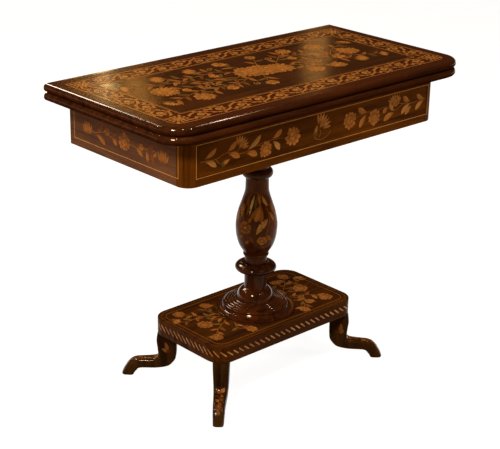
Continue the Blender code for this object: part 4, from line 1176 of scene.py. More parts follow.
class Inlay:
    """Thin pieces of wood let into one surface and standing a hair proud of it, as one mesh.

    Points on the surface are (u, v) in metres. Place turns (u, v, height) into the table's frame.
    """

    def __init__(self, place, across=1):
        settings = bpy.context.scene.card_table_inlay
        self.place = place
        self.across = across
        self.lift, self.root, self.line = settings.lift, settings.root, settings.line
        self.random = random.Random(settings.seed)
        self.points, self.faces, self.share, self.run, self.kinds = [], [], [], [], []
        self.laid = self.group = 0

    def strip(self, line, halves, wood, tone=1.0, shade=1.0, layer=0, closed=False, across=None,
              cross_grain=False):
        """One piece along a centre line, with its half-width at each point."""
        across = across or self.across
        line = [Vector((a, b)) for a, b in line]
        count = len(line)
        self.laid += 1
        height = self.lift + (layer + (self.group % 6 * 4 + self.laid % 4) / 24) * LAYER_STEP
        travelled = 0.0
        first = len(self.points)
        total = sum((b - a).length for a, b in zip(line, line[1:]))
        for i, (middle, half) in enumerate(zip(line, halves)):
            ahead = line[(i + 1) % count] - middle if i + 1 < count or closed else None
            behind = middle - line[i - 1] if i or closed else None
            ahead = ahead if ahead is not None and ahead.length > 1e-9 else behind
            behind = behind if behind is not None and behind.length > 1e-9 else ahead
            one, two = behind.normalized(), ahead.normalized()
            sides = Vector((-one.y - two.y, one.x + two.x))
            sides = sides.normalized() if sides.length > 1e-6 else Vector((-two.y, two.x))
            mitre = 1 / max(0.5, sides.dot(Vector((-two.y, two.x))))
            if i:
                travelled += (middle - line[i - 1]).length
            half = max(half, THINNEST)
            for k in range(across + 3):
                column = k if k <= across else (0 if k == across + 1 else across)
                side = 2 * column / across - 1
                point = middle + sides * (side * half * mitre)
                self.points.append(self.place(point.x, point.y,
                                              height if k <= across else -self.root))
                self.share.append((travelled / total if total else 0.0, (side + 1) / 2))
                run = (travelled, side * half)
                self.run.append(run[::-1] if cross_grain else run)
        row = across + 3
        low_right, low_left = across + 1, across + 2
        before = len(self.faces)
        for i in range(count if closed else count - 1):
            a, b = first + i * row, first + (i + 1) % count * row
            for k in range(across):
                self.faces.append((a + k, b + k, b + k + 1, a + k + 1))
            self.faces.append((a + low_right, b + low_right, b, a))
            self.faces.append((a + across, b + across, b + low_left, a + low_left))
            self.faces.append((a + low_right, a + low_left, b + low_left, b + low_right))
        if not closed:
            a, b = first, first + (count - 1) * row
            self.faces.append((*range(a, a + across + 1), a + low_left, a + low_right))
            self.faces.append((b + low_right, b + low_left, *range(b + across, b - 1, -1)))
        hue = (list(INLAY_WOODS).index(wood) + 0.5) / len(INLAY_WOODS)
        tone *= 1 + TONE_SPREAD * (self.random.random() - 0.5)
        self.kinds += [(hue, tone, shade)] * (len(self.faces) - before)

    def curved(self, x, y, bearing, reach, bend, count, shape):
        """A centre line from a point, turning evenly, with the shape's half-widths for width 1."""
        places, halves = tapered(count, shape)
        line, last = [], 0.0
        for t in places:
            turn = bearing + bend * (t + last) / 2
            x += (t - last) * reach * cos(turn)
            y += (t - last) * reach * sin(turn)
            line.append((x, y))
            last = t
        return line, halves

    def leaf(self, x, y, bearing, reach, width, wood, bend, layer=1, tone=1.0, count=8,
             shape=leaf_shape):
        line, halves = self.curved(x, y, bearing, reach, bend, count, shape)
        self.strip(line, [half * width / 2 for half in halves], wood, tone, 1.0, layer)

    def leaf_between(self, start, end, width, wood, bend, shape=leaf_shape):
        """A leaf from its root to its tip."""
        dx, dy = end[0] - start[0], end[1] - start[1]
        self.leaf(*start, atan2(dy, dx) - bend / 2, hypot(dx, dy) * (1 + bend * bend / 24), width,
                  wood, bend, shape=shape)

    def spray(self, x, y, bearing, reach, width, fan):
        """Three leaves fanned out from one point, the middle one longest."""
        for lean in (-fan, 0.0, fan):
            self.leaf(x, y, bearing + lean, reach * (1 - 0.22 * abs(lean)), width, "amber",
                      -0.7 * lean, count=5)

    def petal(self, x, y, bearing, start, end, width, wood, tone=1.0, layer=2, bend=0.0,
              shape=petal_shape):
        line, halves = self.curved(x + start * cos(bearing), y + start * sin(bearing),
                                   bearing - bend / 2, end - start, bend, 7, shape)
        self.strip(line, [half * width / 2 for half in halves], wood, tone, 2.0, layer)

    def disc(self, x, y, radius, wood, layer, tone):
        places = [cos(pi * (1 - i / 8)) for i in range(9)]
        self.strip([(x + radius * t, y) for t in places],
                   [radius * sqrt(max(0.0, 1 - t * t)) for t in places], wood, tone, 0.0, layer)

    def bloom(self, x, y, radius, wood, heart, rings, turn=0.0):
        """A round flower with a heart. Each ring has its share of the radius and its petals."""
        for k, (share, petals) in enumerate(rings):
            for i in range(petals):
                bearing = turn + k * 0.4 + tau * (i + self.random.uniform(-0.14, 0.14)) / petals
                reach = radius * share * self.random.uniform(0.86, 1.04)
                tone = (1.02, 0.76, 1.10)[k % 3] * self.random.uniform(0.74, 1.14)
                self.petal(x, y, bearing, reach * 0.10, reach, 2.3 * pi * reach / petals, wood, tone,
                           2 + 2 * k)
        self.disc(x, y, radius * 0.13, heart, 11, 0.85)

    def daisy(self, x, y, radius, wood, heart, petals, turn):
        self.bloom(x, y, radius, wood, heart, ((1.0, petals),), turn)

    def tulip(self, x, y, reach, bearing, wood, light):
        """A tulip from the foot of its cup: two outer petals bent out, two inner and a middle one."""
        for side in (-1, 1):
            self.petal(x, y, bearing + side * 0.62, 0.0, reach * 0.98, reach * 0.36, wood, 0.9, 2,
                       side * -0.75, leaf_shape)
            self.petal(x, y, bearing + side * 0.26, 0.0, reach * 1.02, reach * 0.36, wood, 1.05, 4,
                       side * -0.35, leaf_shape)
        self.petal(x, y, bearing, 0.0, reach, reach * 0.34, light, 1.0, 6, 0.0, leaf_shape)

    def bell(self, x, y, reach, bearing, wood, light):
        """A hanging bell: three long petals side by side, widest at their ends."""
        for side in (-1, 1):
            self.petal(x, y, bearing + side * 0.30, 0.0, reach * 0.96, reach * 0.42, wood, 0.95, 2,
                       side * -0.20)
        self.petal(x, y, bearing, 0.0, reach, reach * 0.44, light, 1.0, 4)

    def thistle(self, x, y, reach, bearing, wood, light):
        """A spiky bloom: a small cup with a fan of narrow blades."""
        for i in range(7):
            lean = (i - 3) * 0.30
            self.petal(x, y, bearing + lean, reach * 0.25, reach, reach * 0.22,
                       light if i % 3 == 1 else wood, 1.0, 3 + i % 2, 0.0, blade_shape)
        self.petal(x, y, bearing, -0.05 * reach, reach * 0.45, reach * 0.34, "orange", 1.0, 6)

    def bud(self, x, y, reach, bearing, wood):
        for side in (-1, 1):
            self.petal(x, y, bearing + side * 0.35, 0.0, reach * 0.55, reach * 0.24, "olive", 1.0, 4,
                       side * -0.5, leaf_shape)
        self.petal(x, y, bearing, 0.0, reach, reach * 0.42, wood, 1.0, 2, 0.0, leaf_shape)

    def stem(self, points, width, fineness):
        """A thin stem through the points, tapering to its end."""
        line = through_spline(points, fineness)
        count = len(line) - 1
        self.strip(line, [width / 2 * (1 - 0.45 * i / count) for i in range(count + 1)], "amber",
                   shade=0.0)

    def curl(self, x, y, bearing, radius, side):
        """A tendril that leaves along a bearing and winds itself up."""
        start = bearing - side * pi / 2
        line = []
        for i in range(15):
            angle = start + side * 1.15 * tau * i / 14
            reach = radius * (1 - 0.80 * i / 14)
            line.append((x - radius * cos(start) + reach * cos(angle),
                         y - radius * sin(start) + reach * sin(angle)))
        self.strip(line, [0.0008] * 15, "tan", 1.0, 0.0, 2)

    def band(self, outline, width, wood, layer=3, tone=1.0, cross_grain=False):
        """A line or crossband along a closed outline."""
        self.strip(outline, [width / 2] * len(outline), wood, tone, 0.0, layer, True, 1,
                   cross_grain)

    def frame(self, left, right, low, high, width, wood, layer=3, tone=1.0):
        self.band([(left, low), (right, low), (right, high), (left, high)], width, wood, layer,
                  tone)

    def finish(self, name, body, material="inlay"):
        mesh = bpy.data.meshes.new(name)
        mesh.from_pydata([tuple(point) for point in self.points], [], self.faces)
        owner = np.zeros(len(mesh.loops), np.int32)
        mesh.loops.foreach_get("vertex_index", owner)
        for label, values in (("share", self.share), ("run", self.run)):
            layer = mesh.uv_layers.new(name=label)
            layer.uv.foreach_set("vector", np.array(values, np.float32)[owner].ravel())
        kind = mesh.attributes.new("kind", "FLOAT_VECTOR", "FACE")
        kind.data.foreach_set("vector", np.array(self.kinds, np.float32).ravel())
        return finished(name, mesh, material, body, (), 30.0, 1.0)


def on_board(top):
    """Places on a flat board whose CAD surface is at that height."""
    return lambda u, v, height: (u, v, top - GROUND_SINK + height)


def on_end(sign):
    """Places on the box's left end for -1 and on its right end for 1."""
    return lambda u, v, height: (sign * (FRIEZE_END + height), BASE_Y + sign * u, v)


def on_front(u, v, height):
    return u, FRIEZE_FRONT - height, v


def inset_plan(inset):
    """The leaf's outline, so far in from its edges."""
    return rounded_plan(-LEAF_END + inset, LEAF_END - inset, LEAF_FRONT + inset,
                        LEAF_BACK - inset, LEAF_CORNER - inset, 0.0, 10)


def scroll_run(inlay, start, end, half, pitch):
    """A running leafy scroll along a straight piece of border, filling most of its width."""
    start, end = Vector(start), Vector(end)
    total = (end - start).length
    count = max(2, round(total / pitch))
    pitch = total / count
    ahead = (end - start) / total
    side = Vector((-ahead.y, ahead.x))
    heading = atan2(ahead.y, ahead.x)

    def at(s, t):
        point = start + ahead * s + side * t
        return point.x, point.y

    wave = half * 0.62
    line = [at(total * i / (count * 10), wave * sin(pi * i / 10)) for i in range(count * 10 + 1)]
    inlay.strip(line, [0.0016] * len(line), "orange", 1.05, 0.4, 1)
    for k in range(count):
        up = 1 if k % 2 == 0 else -1
        middle, low = (k + 0.5) * pitch, -up * half * 0.22
        outer = min(pitch * 0.40, half * 0.74)
        turns = 2.3 * pi

        def curl_at(t, beyond=0.0):
            turn, reach = pi + up * turns * t, outer * (1 - 0.72 * t) + beyond
            return at(middle + reach * cos(turn), low + reach * sin(turn)), heading + turn

        curl = [curl_at(i / 15)[0] for i in range(16)]
        inlay.strip(curl, [0.0024 * (1 - 0.45 * i / 15) for i in range(16)], "orange", 1.0, 0.4, 2)
        inlay.daisy(*at(middle, low), outer * 0.40, "tan", "rosewood", 5, heading + k)
        for t in (0.07, 0.17, 0.28, 0.39, 0.50, 0.61):
            point, turn = curl_at(t, -0.0006)
            inlay.leaf(*point, turn - up * 0.75, half * (0.50 - 0.28 * t), half * 0.32,
                       "orange" if round(t * 100) % 2 else "amber", up * 0.9, 2, 1.05, 5)
        for place, lean, reach in ((0.02, 1.25, 0.60), (0.22, 0.95, 0.42), (0.50, 1.57, 0.40),
                                   (0.78, 2.2, 0.42), (0.97, 1.9, 0.60)):
            point = at((k + place) * pitch, up * wave * sin(pi * place))
            inlay.leaf(*point, heading + up * lean, half * reach, half * 0.34, "orange",
                       up * (0.8 if lean > 1.5 else -0.8), 2, 1.0, 5)
        inlay.spray(*at((k + 0.03) * pitch, -up * half * 0.52), heading - up * 1.57, half * 0.46,
                    half * 0.34, 0.85)
        inlay.spray(*at((k + 0.5) * pitch, up * half * 0.66), heading + up * 1.57, half * 0.30,
                    half * 0.26, 1.0)


# The top's bands: how far their middles lie in from the leaf's edges, and widths
CROSSBAND_INSET, CROSSBAND_WIDTH = 0.0215, 0.0255
BORDER_INSET, BORDER_HALF, BORDER_GAP = 0.0618, 0.0245, 0.004
OUTER_LINE, INNER_LINE, FIELD_LINE = 0.0345, 0.0880, 0.0925


class CARDTABLE_OT_top_inlay(bpy.types.Operator):
    """Lay the crossband, lines, scroll border and flowers into the top"""
    bl_idname = "card_table.top_inlay"
    bl_label = "Inlay of the top"

    def execute(self, context):
        settings = context.scene.card_table_inlay
        edge = Inlay(on_board(TOP_HIGH.z))

        def ring(inset, width, wood, layer=3, tone=1.0):
            edge.frame(-LEAF_END + inset, LEAF_END - inset, LEAF_FRONT + inset, LEAF_BACK - inset,
                       width, wood, layer, tone)

        ring(BORDER_INSET, 2 * BORDER_HALF, "rosewood", 0, 0.72)
        edge.band(inset_plan(CROSSBAND_INSET), CROSSBAND_WIDTH, "rosewood", 0, 0.68, True)
        edge.band(inset_plan(OUTER_LINE), settings.line * 0.8, "tan")
        ring(INNER_LINE, settings.line * 0.8, "tan", 3, 0.9)
        ring(FIELD_LINE, settings.line * 0.5, "amber")
        edge.finish("top_lines", "folding_leaf")

        border = Inlay(on_board(TOP_HIGH.z))
        half = BORDER_HALF
        left, right = -LEAF_END + BORDER_INSET, LEAF_END - BORDER_INSET
        front, back = LEAF_FRONT + BORDER_INSET, LEAF_BACK - BORDER_INSET
        gap = half + BORDER_GAP
        for start, end in (((left + gap, front), (right - gap, front)),
                           ((right, front + gap), (right, back - gap)),
                           ((right - gap, back), (left + gap, back)),
                           ((left, back - gap), (left, front + gap))):
            scroll_run(border, start, end, half, settings.scroll_pitch)
        for x, y in ((left, front), (right, front), (right, back), (left, back)):
            border.bloom(x, y, half * 0.60, "orange", "straw", ((1.0, 8), (0.6, 5)))
            for i in range(12):
                turn = tau * (i + 0.5) / 12
                border.leaf(x + half * 0.56 * cos(turn), y + half * 0.56 * sin(turn), turn,
                            half * (0.75 if i % 3 == 1 else 0.42), half * 0.32, "orange", 0.6,
                            count=5)
        border.finish("top_border", "folding_leaf")

        field = Inlay(on_board(TOP_HIGH.z))
        planting(field, TOP_STEMS, TOP_FLOWERS, 0.0022, (0.0165, 0.034, 0.0115),
                 ("orange", "orange", "tan"))
        for x, y, bearing, radius, side in TOP_CURLS:
            field.curl(x / 1000, y / 1000, radians(bearing), radius / 1000, side)
        field.finish("top_flowers", "folding_leaf")
        return {"FINISHED"}


# The top's flowers: kind, x and y in millimetres, radius or length, bearing in degrees
TOP_FLOWERS = (
    ("peony", -32, 10, 42, 0), ("peony", 42, -6, 40, 30), ("peony", 5, 4, 44, 50),
    ("peony", -285, 6, 35, 10), ("tulip", -224, 84, 36, 150), ("daisy", -241, -14, 12, 0),
    ("carnation", -243, -76, 27, 0), ("tulip", -128, 88, 34, 140), ("daisy", -47, 103, 18, 20),
    ("daisy", 53, 104, 14, 50), ("carnation", 153, 96, 22, 0), ("daisy", -52, -86, 17, 0),
    ("peony", 284, 4, 30, 0), ("tulip", 247, -56, 34, -40), ("daisy", 228, -19, 17, 0),
    ("carnation", 175, -72, 22, 0), ("carnation", 105, -67, 23, 30), ("carnation", 242, 80, 26, 0),
    ("daisy", -150, -64, 15, 0), ("daisy", 128, 38, 13, 0), ("daisy", -120, 34, 13, 0),
    ("thistle", -330, 70, 26, 150), ("thistle", 325, 62, 26, 30), ("thistle", -322, -66, 26, 215),
    ("thistle", 322, -62, 26, -35),
)
TOP_STEMS = (
    ((-60, 5), (-110, -14), (-165, 6), (-215, -4), (-256, 4)),
    ((-62, 30), (-100, 62), (-128, 86)), ((-100, 62), (-160, 56), (-205, 76), (-224, 84)),
    ((-60, -18), (-110, -44), (-165, -40), (-222, -70)), ((-165, 6), (-190, 40), (-250, 52), (-330, 70)),
    ((-165, -40), (-215, -34), (-270, -50), (-322, -66)), ((-30, 50), (-46, 84)),
    ((20, 44), (52, 90)), ((-28, -30), (-50, -70)), ((74, -2), (118, -16), (172, 8), (222, 2), (256, 4)),
    ((66, 28), (104, 60), (134, 88)), ((104, 60), (160, 52), (205, 62), (222, 74)),
    ((66, -26), (90, -48), (100, -56)), ((90, -48), (140, -44), (165, -58)),
    ((172, 8), (205, -24), (247, -56)), ((222, 2), (262, 38), (325, 62)),
    ((222, 2), (270, -34), (322, -62)), ((-110, -44), (-150, -60)), ((118, -16), (128, 30)),
    ((-110, -14), (-120, 28)),
)


def in_metres(points):
    return [(x / 1000, y / 1000) for x, y in points]


def lay_flower(inlay, kind, x, y, size, bearing, woods):
    """One flower from the tables, whose sizes are in millimetres and degrees."""
    x, y, size, bearing = x / 1000, y / 1000, size / 1000, radians(bearing)
    first, second, heart = woods
    inlay.group += 1
    if kind == "peony":
        inlay.bloom(x, y, size, first, second,
                    ((1.0, 19), (0.80, 16), (0.60, 12), (0.40, 8), (0.22, 5)), bearing)
    elif kind == "carnation":
        inlay.bloom(x, y, size, first, second, ((1.0, 11), (0.70, 8), (0.42, 5)), bearing)
    elif kind == "daisy":
        inlay.daisy(x, y, size, second, heart, 6, bearing)
    elif kind == "tulip":
        inlay.tulip(x, y, size, bearing, first, second)
    elif kind == "thistle":
        inlay.thistle(x, y, size, bearing, second, heart)
    elif kind == "bud":
        inlay.bud(x, y, size, bearing, first)


LEAF_WOODS = ("amber", "olive", "chestnut", "amber")


def leaves_along(inlay, line, every, reach, width):
    """Leaves in turn on both sides of a stem."""
    inlay.group += 1
    smooth_line = through_spline(line, 8)
    travelled, next_leaf, side, number = 0.0, every * 0.7, 1, 0
    for (x, y), (a, b) in zip(smooth_line, smooth_line[1:]):
        step = hypot(a - x, b - y)
        if travelled + step >= next_leaf:
            heading = atan2(b - y, a - x)
            wobble = inlay.random.uniform(0.85, 1.15)
            inlay.leaf(x, y, heading + side * 0.62, reach * wobble, width * wobble,
                       LEAF_WOODS[number % len(LEAF_WOODS)], side * 0.55)
            side, number = -side, number + 1
            next_leaf += every
        travelled += step


# Tendrils of the top: x, y, bearing, radius and the side to which they wind
TOP_CURLS = (
    (-178, 6, 240, 13, 1), (-150, -22, 250, 11, -1), (-196, -24, 300, 10, 1),
    (150, -22, 300, 11, 1), (186, 34, 60, 11, -1), (-86, -62, 200, 9, 1), (72, 70, 80, 10, -1),
    (-82, 84, 100, 9, 1), (126, -30, 250, 10, 1), (-230, 36, 120, 10, -1),
)


def planting(inlay, stems, flowers, width, leaves, woods):
    """Stems with leaves along them, and then the flowers."""
    for points in stems:
        line = in_metres(points)
        inlay.stem(line, width, 6)
        leaves_along(inlay, line, *leaves)
    for kind, x, y, size, bearing in flowers:
        lay_flower(inlay, kind, x, y, size, bearing, woods)


# The front's leaves: root and tip in millimetres from the middle and from the floor, width
FRONT_LEAVES = (
    (-343, 669, -309, 687, 9), (-340, 661, -308, 645, 9), (-279, 672, -253, 691, 10),
    (-277, 666, -243, 652, 11), (-222, 664, -183, 690, 10), (-226, 656, -192, 646, 11),
    (-150, 674, -121, 690, 10), (-148, 668, -126, 644, 10), (152, 676, 120, 690, 11),
    (150, 672, 128, 642, 11), (244, 660, 228, 685, 10), (246, 656, 209, 642, 12),
    (300, 674, 274, 690, 10), (303, 670, 270, 647, 10), (306, 662, 284, 643, 10),
    (350, 672, 322, 686, 9), (350, 668, 320, 648, 10), (222, 672, 205, 662, 9),
)
FRONT_FLOWERS = (
    ("bud", -296, 645, 24, 20), ("thistle", -245, 672, 26, 52), ("carnation", -168, 653, 17, 0),
    ("carnation", -86, 667, 21, 20), ("bud", -20, 652, 24, 70), ("thistle", -4, 668, 32, 50),
    ("carnation", 94, 667, 20, 0), ("carnation", 175, 658, 18, 40), ("thistle", 244, 672, 26, 90),
    ("carnation", 247, 684, 13, 0),
)
FRONT_STEMS = (
    ((-352, 664), (-338, 664), (-310, 662), (-280, 670), (-252, 662), (-225, 660), (-196, 668),
     (-150, 671), (-110, 668)),
    ((-310, 662), (-302, 652), (-294, 648)), ((-252, 662), (-248, 668), (-244, 674)),
    ((-196, 668), (-180, 664), (-168, 656)),
    ((355, 670), (335, 670), (304, 668), (276, 672), (245, 662), (212, 676), (180, 672), (152, 675),
     (115, 670)),
    ((180, 672), (176, 666), (175, 660)), ((276, 672), (262, 676), (250, 682)),
    ((-20, 652), (-12, 644), (4, 641), (22, 646), (32, 656)), ((-4, 668), (0, 656), (-6, 646)),
)
END_LEAVES = (
    (82, 667, 98, 638, 10), (110, 666, 96, 656, 6), (-109, 662, -78, 690, 10),
    (-108, 656, -72, 640, 10), (-50, 668, -33, 680, 9), (-48, 660, -30, 650, 9),
    (36, 664, 52, 676, 9), (34, 660, 60, 648, 9), (66, 672, 100, 684, 10), (70, 665, 76, 641, 9),
)
END_FLOWERS = (
    ("tulip", -136, 650, 27, 95), ("tulip", 126, 650, 28, 84), ("carnation", -3, 664, 19, 0),
    ("daisy", -66, 672, 9, 0), ("daisy", 55, 668, 7, 0),
)
END_STEMS = (
    ((-134, 661), (-108, 660), (-80, 668), (-50, 664), (-22, 662)),
    ((124, 658), (108, 668), (84, 670), (62, 666), (36, 662), (16, 664)),
)


# The panels' lines: heights, and reach to the left and right of the middle
PANEL_LOW, PANEL_HIGH = FRIEZE_LOW + 0.0184, FRIEZE_HIGH - 0.0170
FRONT_PANEL, END_PANEL = (0.3632, 0.3632), (0.1870, 0.1762)


def frieze_panel(inlay, spans, leaves, flowers, stems, woods):
    """A bordered panel of the box with its spray of leaves and flowers."""
    inlay.frame(-spans[0], spans[1], PANEL_LOW, PANEL_HIGH, inlay.line, "tan", 3, 0.95)
    for points in stems:
        inlay.stem(in_metres(points), 0.0016, 5)
    for number, (x, z, a, b, width) in enumerate(leaves):
        bend = 0.7 if (b > z) == (a > x) else -0.7
        inlay.leaf_between((x / 1000, z / 1000), (a / 1000, b / 1000), width * 0.00145,
                           woods[number % len(woods)], bend, shape=club_shape)
    for kind, x, z, size, bearing in flowers:
        lay_flower(inlay, kind, x, z, size * 1.12, bearing, (woods[-1], woods[-1], "tan"))


class CARDTABLE_OT_frieze_inlay(bpy.types.Operator):
    """Lay the lines, leaves and flowers into the front and both ends of the box"""
    bl_idname = "card_table.frieze_inlay"
    bl_label = "Inlay of the box"

    def execute(self, context):
        front = Inlay(on_front)
        frieze_panel(front, FRONT_PANEL, FRONT_LEAVES, FRONT_FLOWERS, FRONT_STEMS,
                     ("orange", "tan", "orange"))
        front.finish("front_inlay", "base", "side_inlay")
        for side, sign in (("left", 1), ("right", -1)):
            end = Inlay(on_end(-sign))
            leaves = [(sign * x, z, sign * a, b, w) for x, z, a, b, w in END_LEAVES]
            flowers = [(kind, sign * x, z, size, turn if sign > 0 else 180 - turn)
                       for kind, x, z, size, turn in END_FLOWERS]
            stems = [[(sign * x, z) for x, z in points] for points in END_STEMS]
            frieze_panel(end, END_PANEL[::sign], leaves, flowers, stems, ("chestnut", "amber"))
            end.finish(f"{side}_end_inlay", "base", "side_inlay")
        return {"FINISHED"}


VASE_REACH = 0.045       # radius at which the lengths round the vase are given
VASE_TURNS = (-133.2, -13.2, 106.8)
# Leaves of the vase: root and tip as degrees round it and millimetres of height, width, wood, bend
VASE_LEAVES = (
    (-38, 462, -30, 432, 13, "chestnut", 0.3), (-10, 462, -22, 414, 8, "straw", 0.4),
    (1, 462, -5, 424, 8, "olive", 0.3), (5, 466, 12, 436, 11, "amber", -0.4),
    (22, 460, 46, 434, 11, "tan", 0.5), (-53, 438, -47, 406, 12, "orange", 0.6),
    (36, 406, 0, 368, 16, "tan", 0.5), (41, 422, 61, 392, 10, "orange", -0.5),
    (54, 440, 64, 410, 10, "amber", -0.4), (-58, 400, -51, 372, 11, "chestnut", 0.5),
    (-24, 366, -6, 344, 10, "chestnut", -0.5), (30, 368, 51, 348, 11, "amber", 0.5),
    (-40, 364, -54, 348, 9, "amber", 0.4), (-24, 440, -34, 412, 10, "olive", -0.4),
    (-14, 410, -22, 396, 8, "amber", 0.4), (44, 392, 56, 372, 9, "chestnut", 0.4),
    (-20, 352, -34, 338, 8, "amber", 0.4), (10, 340, 26, 330, 7, "chestnut", -0.4),
)


def on_vase():
    """A place on the vase's belly from lengths round it and heights."""
    belly = vase_belly()[::-1]
    levels, radii = [height for _, height in belly], [radius for radius, _ in belly]

    def place(u, v, height):
        radius = float(np.interp(v, levels, radii))
        slope = float(np.interp(v + 0.001, levels, radii) - np.interp(v - 0.001, levels, radii)) / 0.002
        out = radius + height / hypot(1.0, slope)
        return (out * cos(u / VASE_REACH), BASE_Y + out * sin(u / VASE_REACH),
                v - height * slope / hypot(1.0, slope))

    return place


class CARDTABLE_OT_vase_inlay(bpy.types.Operator):
    """Lay leaves and flowers round the vase, in three like groups"""
    bl_idname = "card_table.vase_inlay"
    bl_label = "Inlay of the vase"

    def execute(self, context):
        inlay = Inlay(on_vase(), 4)
        for turn in VASE_TURNS:
            def at(degrees, z):
                return radians(turn + degrees) * VASE_REACH, z / 1000

            for points in (((0, 468), (8, 446), (13, 432)), ((-30, 462), (-44, 430), (-38, 396)),
                           ((14, 466), (36, 430), (40, 400), (26, 362)),
                           ((-44, 430), (-54, 400), (-50, 372))):
                inlay.stem([at(*point) for point in points], 0.0014, 6)
            for a, z, b, low, width, kind, bend in VASE_LEAVES:
                inlay.leaf_between(at(a, z), at(b, low), width / 1000, kind, bend)
            inlay.bell(*at(15, 440), 0.042, radians(-110), "amber", "orange")
            inlay.bloom(*at(-32, 383), 0.0165, "amber", "straw", ((1.0, 5), (0.6, 5)), 0.4)
            inlay.bloom(*at(17, 352), 0.0125, "orange", "straw", ((1.0, 5), (0.6, 3)), 1.0)
        inlay.finish("vase_inlay", "base", "side_inlay")
        return {"FINISHED"}


PLATFORM_FLOWERS = (
    ("carnation", -91, 96, 15, 0), ("carnation", -173, 99, 16, 0), ("carnation", -161, 15, 20, 0),
    ("carnation", -184, -54, 17, 0), ("daisy", -91, -74, 15, 0), ("carnation", 178, 99, 16, 0),
    ("tulip", 130, 72, 26, 60), ("carnation", 160, 19, 22, 0), ("daisy", 124, -53, 13, 0),
    ("carnation", 173, -60, 19, 0), ("daisy", 83, -78, 14, 0), ("daisy", 92, 98, 12, 0),
    ("thistle", -196, 62, 20, 120), ("thistle", 198, 60, 20, 60),
)
PLATFORM_STEMS = (
    ((-98, 14), (-130, 22), (-156, 16)), ((-104, 26), (-140, 58), (-170, 92)),
    ((-96, 34), (-108, 66), (-94, 90)), ((-106, 2), (-150, -22), (-180, -48)),
    ((-98, -22), (-112, -50), (-95, -68)), ((-140, 58), (-176, 54), (-196, 62)),
    ((98, 12), (130, 26), (154, 20)), ((104, 26), (142, 56), (174, 92)),
    ((94, 34), (104, 70), (94, 92)), ((106, 0), (150, -24), (170, -54)),
    ((98, -22), (110, -46), (86, -72)), ((110, -10), (126, -36), (124, -48)),
    ((142, 56), (178, 50), (198, 60)),
)


class CARDTABLE_OT_platform_inlay(bpy.types.Operator):
    """Lay the lines, leaves and flowers into the platform"""
    bl_idname = "card_table.platform_inlay"
    bl_label = "Inlay of the platform"

    def execute(self, context):
        line = context.scene.card_table_inlay.line
        inlay = Inlay(on_board(PLATFORM_HIGH.z))
        for inset, wood_name in ((0.0090, "chestnut"), (0.0200, "amber")):
            inlay.band(platform_plan(inset, 10), line * 0.6, wood_name)
        planting(inlay, PLATFORM_STEMS, PLATFORM_FLOWERS, 0.0018, (0.0150, 0.026, 0.0100),
                 ("amber", "amber", "tan"))
        inlay.finish("platform_inlay", "base")
        return {"FINISHED"}


def on_foot_front(place):
    """A place on the outer face of a foot from the width and the length up from the toe."""
    outer = foot_lines(12)[1]
    lengths = [0.0]
    for (a, b), (c, d) in zip(outer, outer[1:]):
        lengths.append(lengths[-1] + hypot(c - a, d - b))
    outs, levels = [point[0] for point in outer], [point[1] for point in outer]

    def at(u, v, height):
        out, level = np.interp(v, lengths, outs), np.interp(v, lengths, levels)
        run = np.interp(v + 0.001, lengths, outs) - np.interp(v - 0.001, lengths, outs)
        rise = np.interp(v + 0.001, lengths, levels) - np.interp(v - 0.001, lengths, levels)
        size = hypot(run, rise)
        over = max(0.0, abs(u) - foot_width(out, level) / 2 + FOOT_EDGE)
        height -= FOOT_EDGE - sqrt(max(0.0, FOOT_EDGE ** 2 - over ** 2))
        return tuple(place @ Vector((out + height * rise / size, u, level - height * run / size)))

    return at


def on_foot_side(place, sign):
    """A place on a side face of a foot, from the distance out along it and the height."""
    def at(u, v, height):
        out = -sign * u
        return tuple(place @ Vector((out, sign * (foot_width(out, v) / 2 + height), v)))

    return at


# A foot's front: root and tip as width and length up from the toe, in millimetres, and wood
FOOT_STEM = ((1, 100), (3, 85), (-2, 65), (0, 45))
FOOT_LEAVES = (
    (1, 100, 9, 114, "amber"), (1, 96, -10, 109, "chestnut"), (2, 83, 11, 96, "amber"),
    (1, 77, -11, 91, "rosewood"), (-1, 66, 10, 80, "chestnut"), (-1, 60, -10, 73, "amber"),
    (0, 52, 10, 64, "amber"),
)
# A foot's side: the root's depth under the platform, the tip's shift and depth, width, wood, bend
FLANK_LEAVES = (
    (50, -4, 22, 11, "chestnut", 0.5), (52, -12, 40, 8, "olive", 0.5),
    (54, 10, 42, 8, "rosewood", -0.5),
)


class CARDTABLE_OT_foot_inlay(bpy.types.Operator):
    """Lay a small spray down the front and a leaf into the sides of each foot"""
    bl_idname = "card_table.foot_inlay"
    bl_label = "Inlay of the feet"

    def execute(self, context):
        for name, x_sign, y_sign in FEET:
            place = foot_place(x_sign, y_sign)
            inlay = Inlay(on_foot_front(place))
            inlay.stem(in_metres(FOOT_STEM), 0.0012, 8)
            for u, v, a, b, kind in FOOT_LEAVES:
                inlay.leaf_between((u / 1000, v / 1000), (a / 1000, b / 1000), 0.0100, kind, 0.4)
            inlay.bloom(0.0, 0.046, 0.0105, "chestnut", "tan", ((1.0, 6), (0.6, 4)), 0.3)
            inlay.leaf_between((0.0, 0.038), (0.002, 0.025), 0.0060, "chestnut", 0.2)
            inlay.finish(f"{name}_foot_inlay", "base", "side_inlay")
            for side, sign in (("left", -1), ("right", 1)):
                flank = Inlay(on_foot_side(place, sign))
                top = PLATFORM_LOW.z
                for root, shift, tip, width, kind, bend in FLANK_LEAVES:
                    flank.leaf_between((0.002, top - root / 1000),
                                       (sign * shift / 1000, top - tip / 1000), width / 1000, kind,
                                       bend)
                flank.finish(f"{name}_foot_inlay_{side}", "base", "side_inlay")
        return {"FINISHED"}


# Repeats made by Geometry Nodes

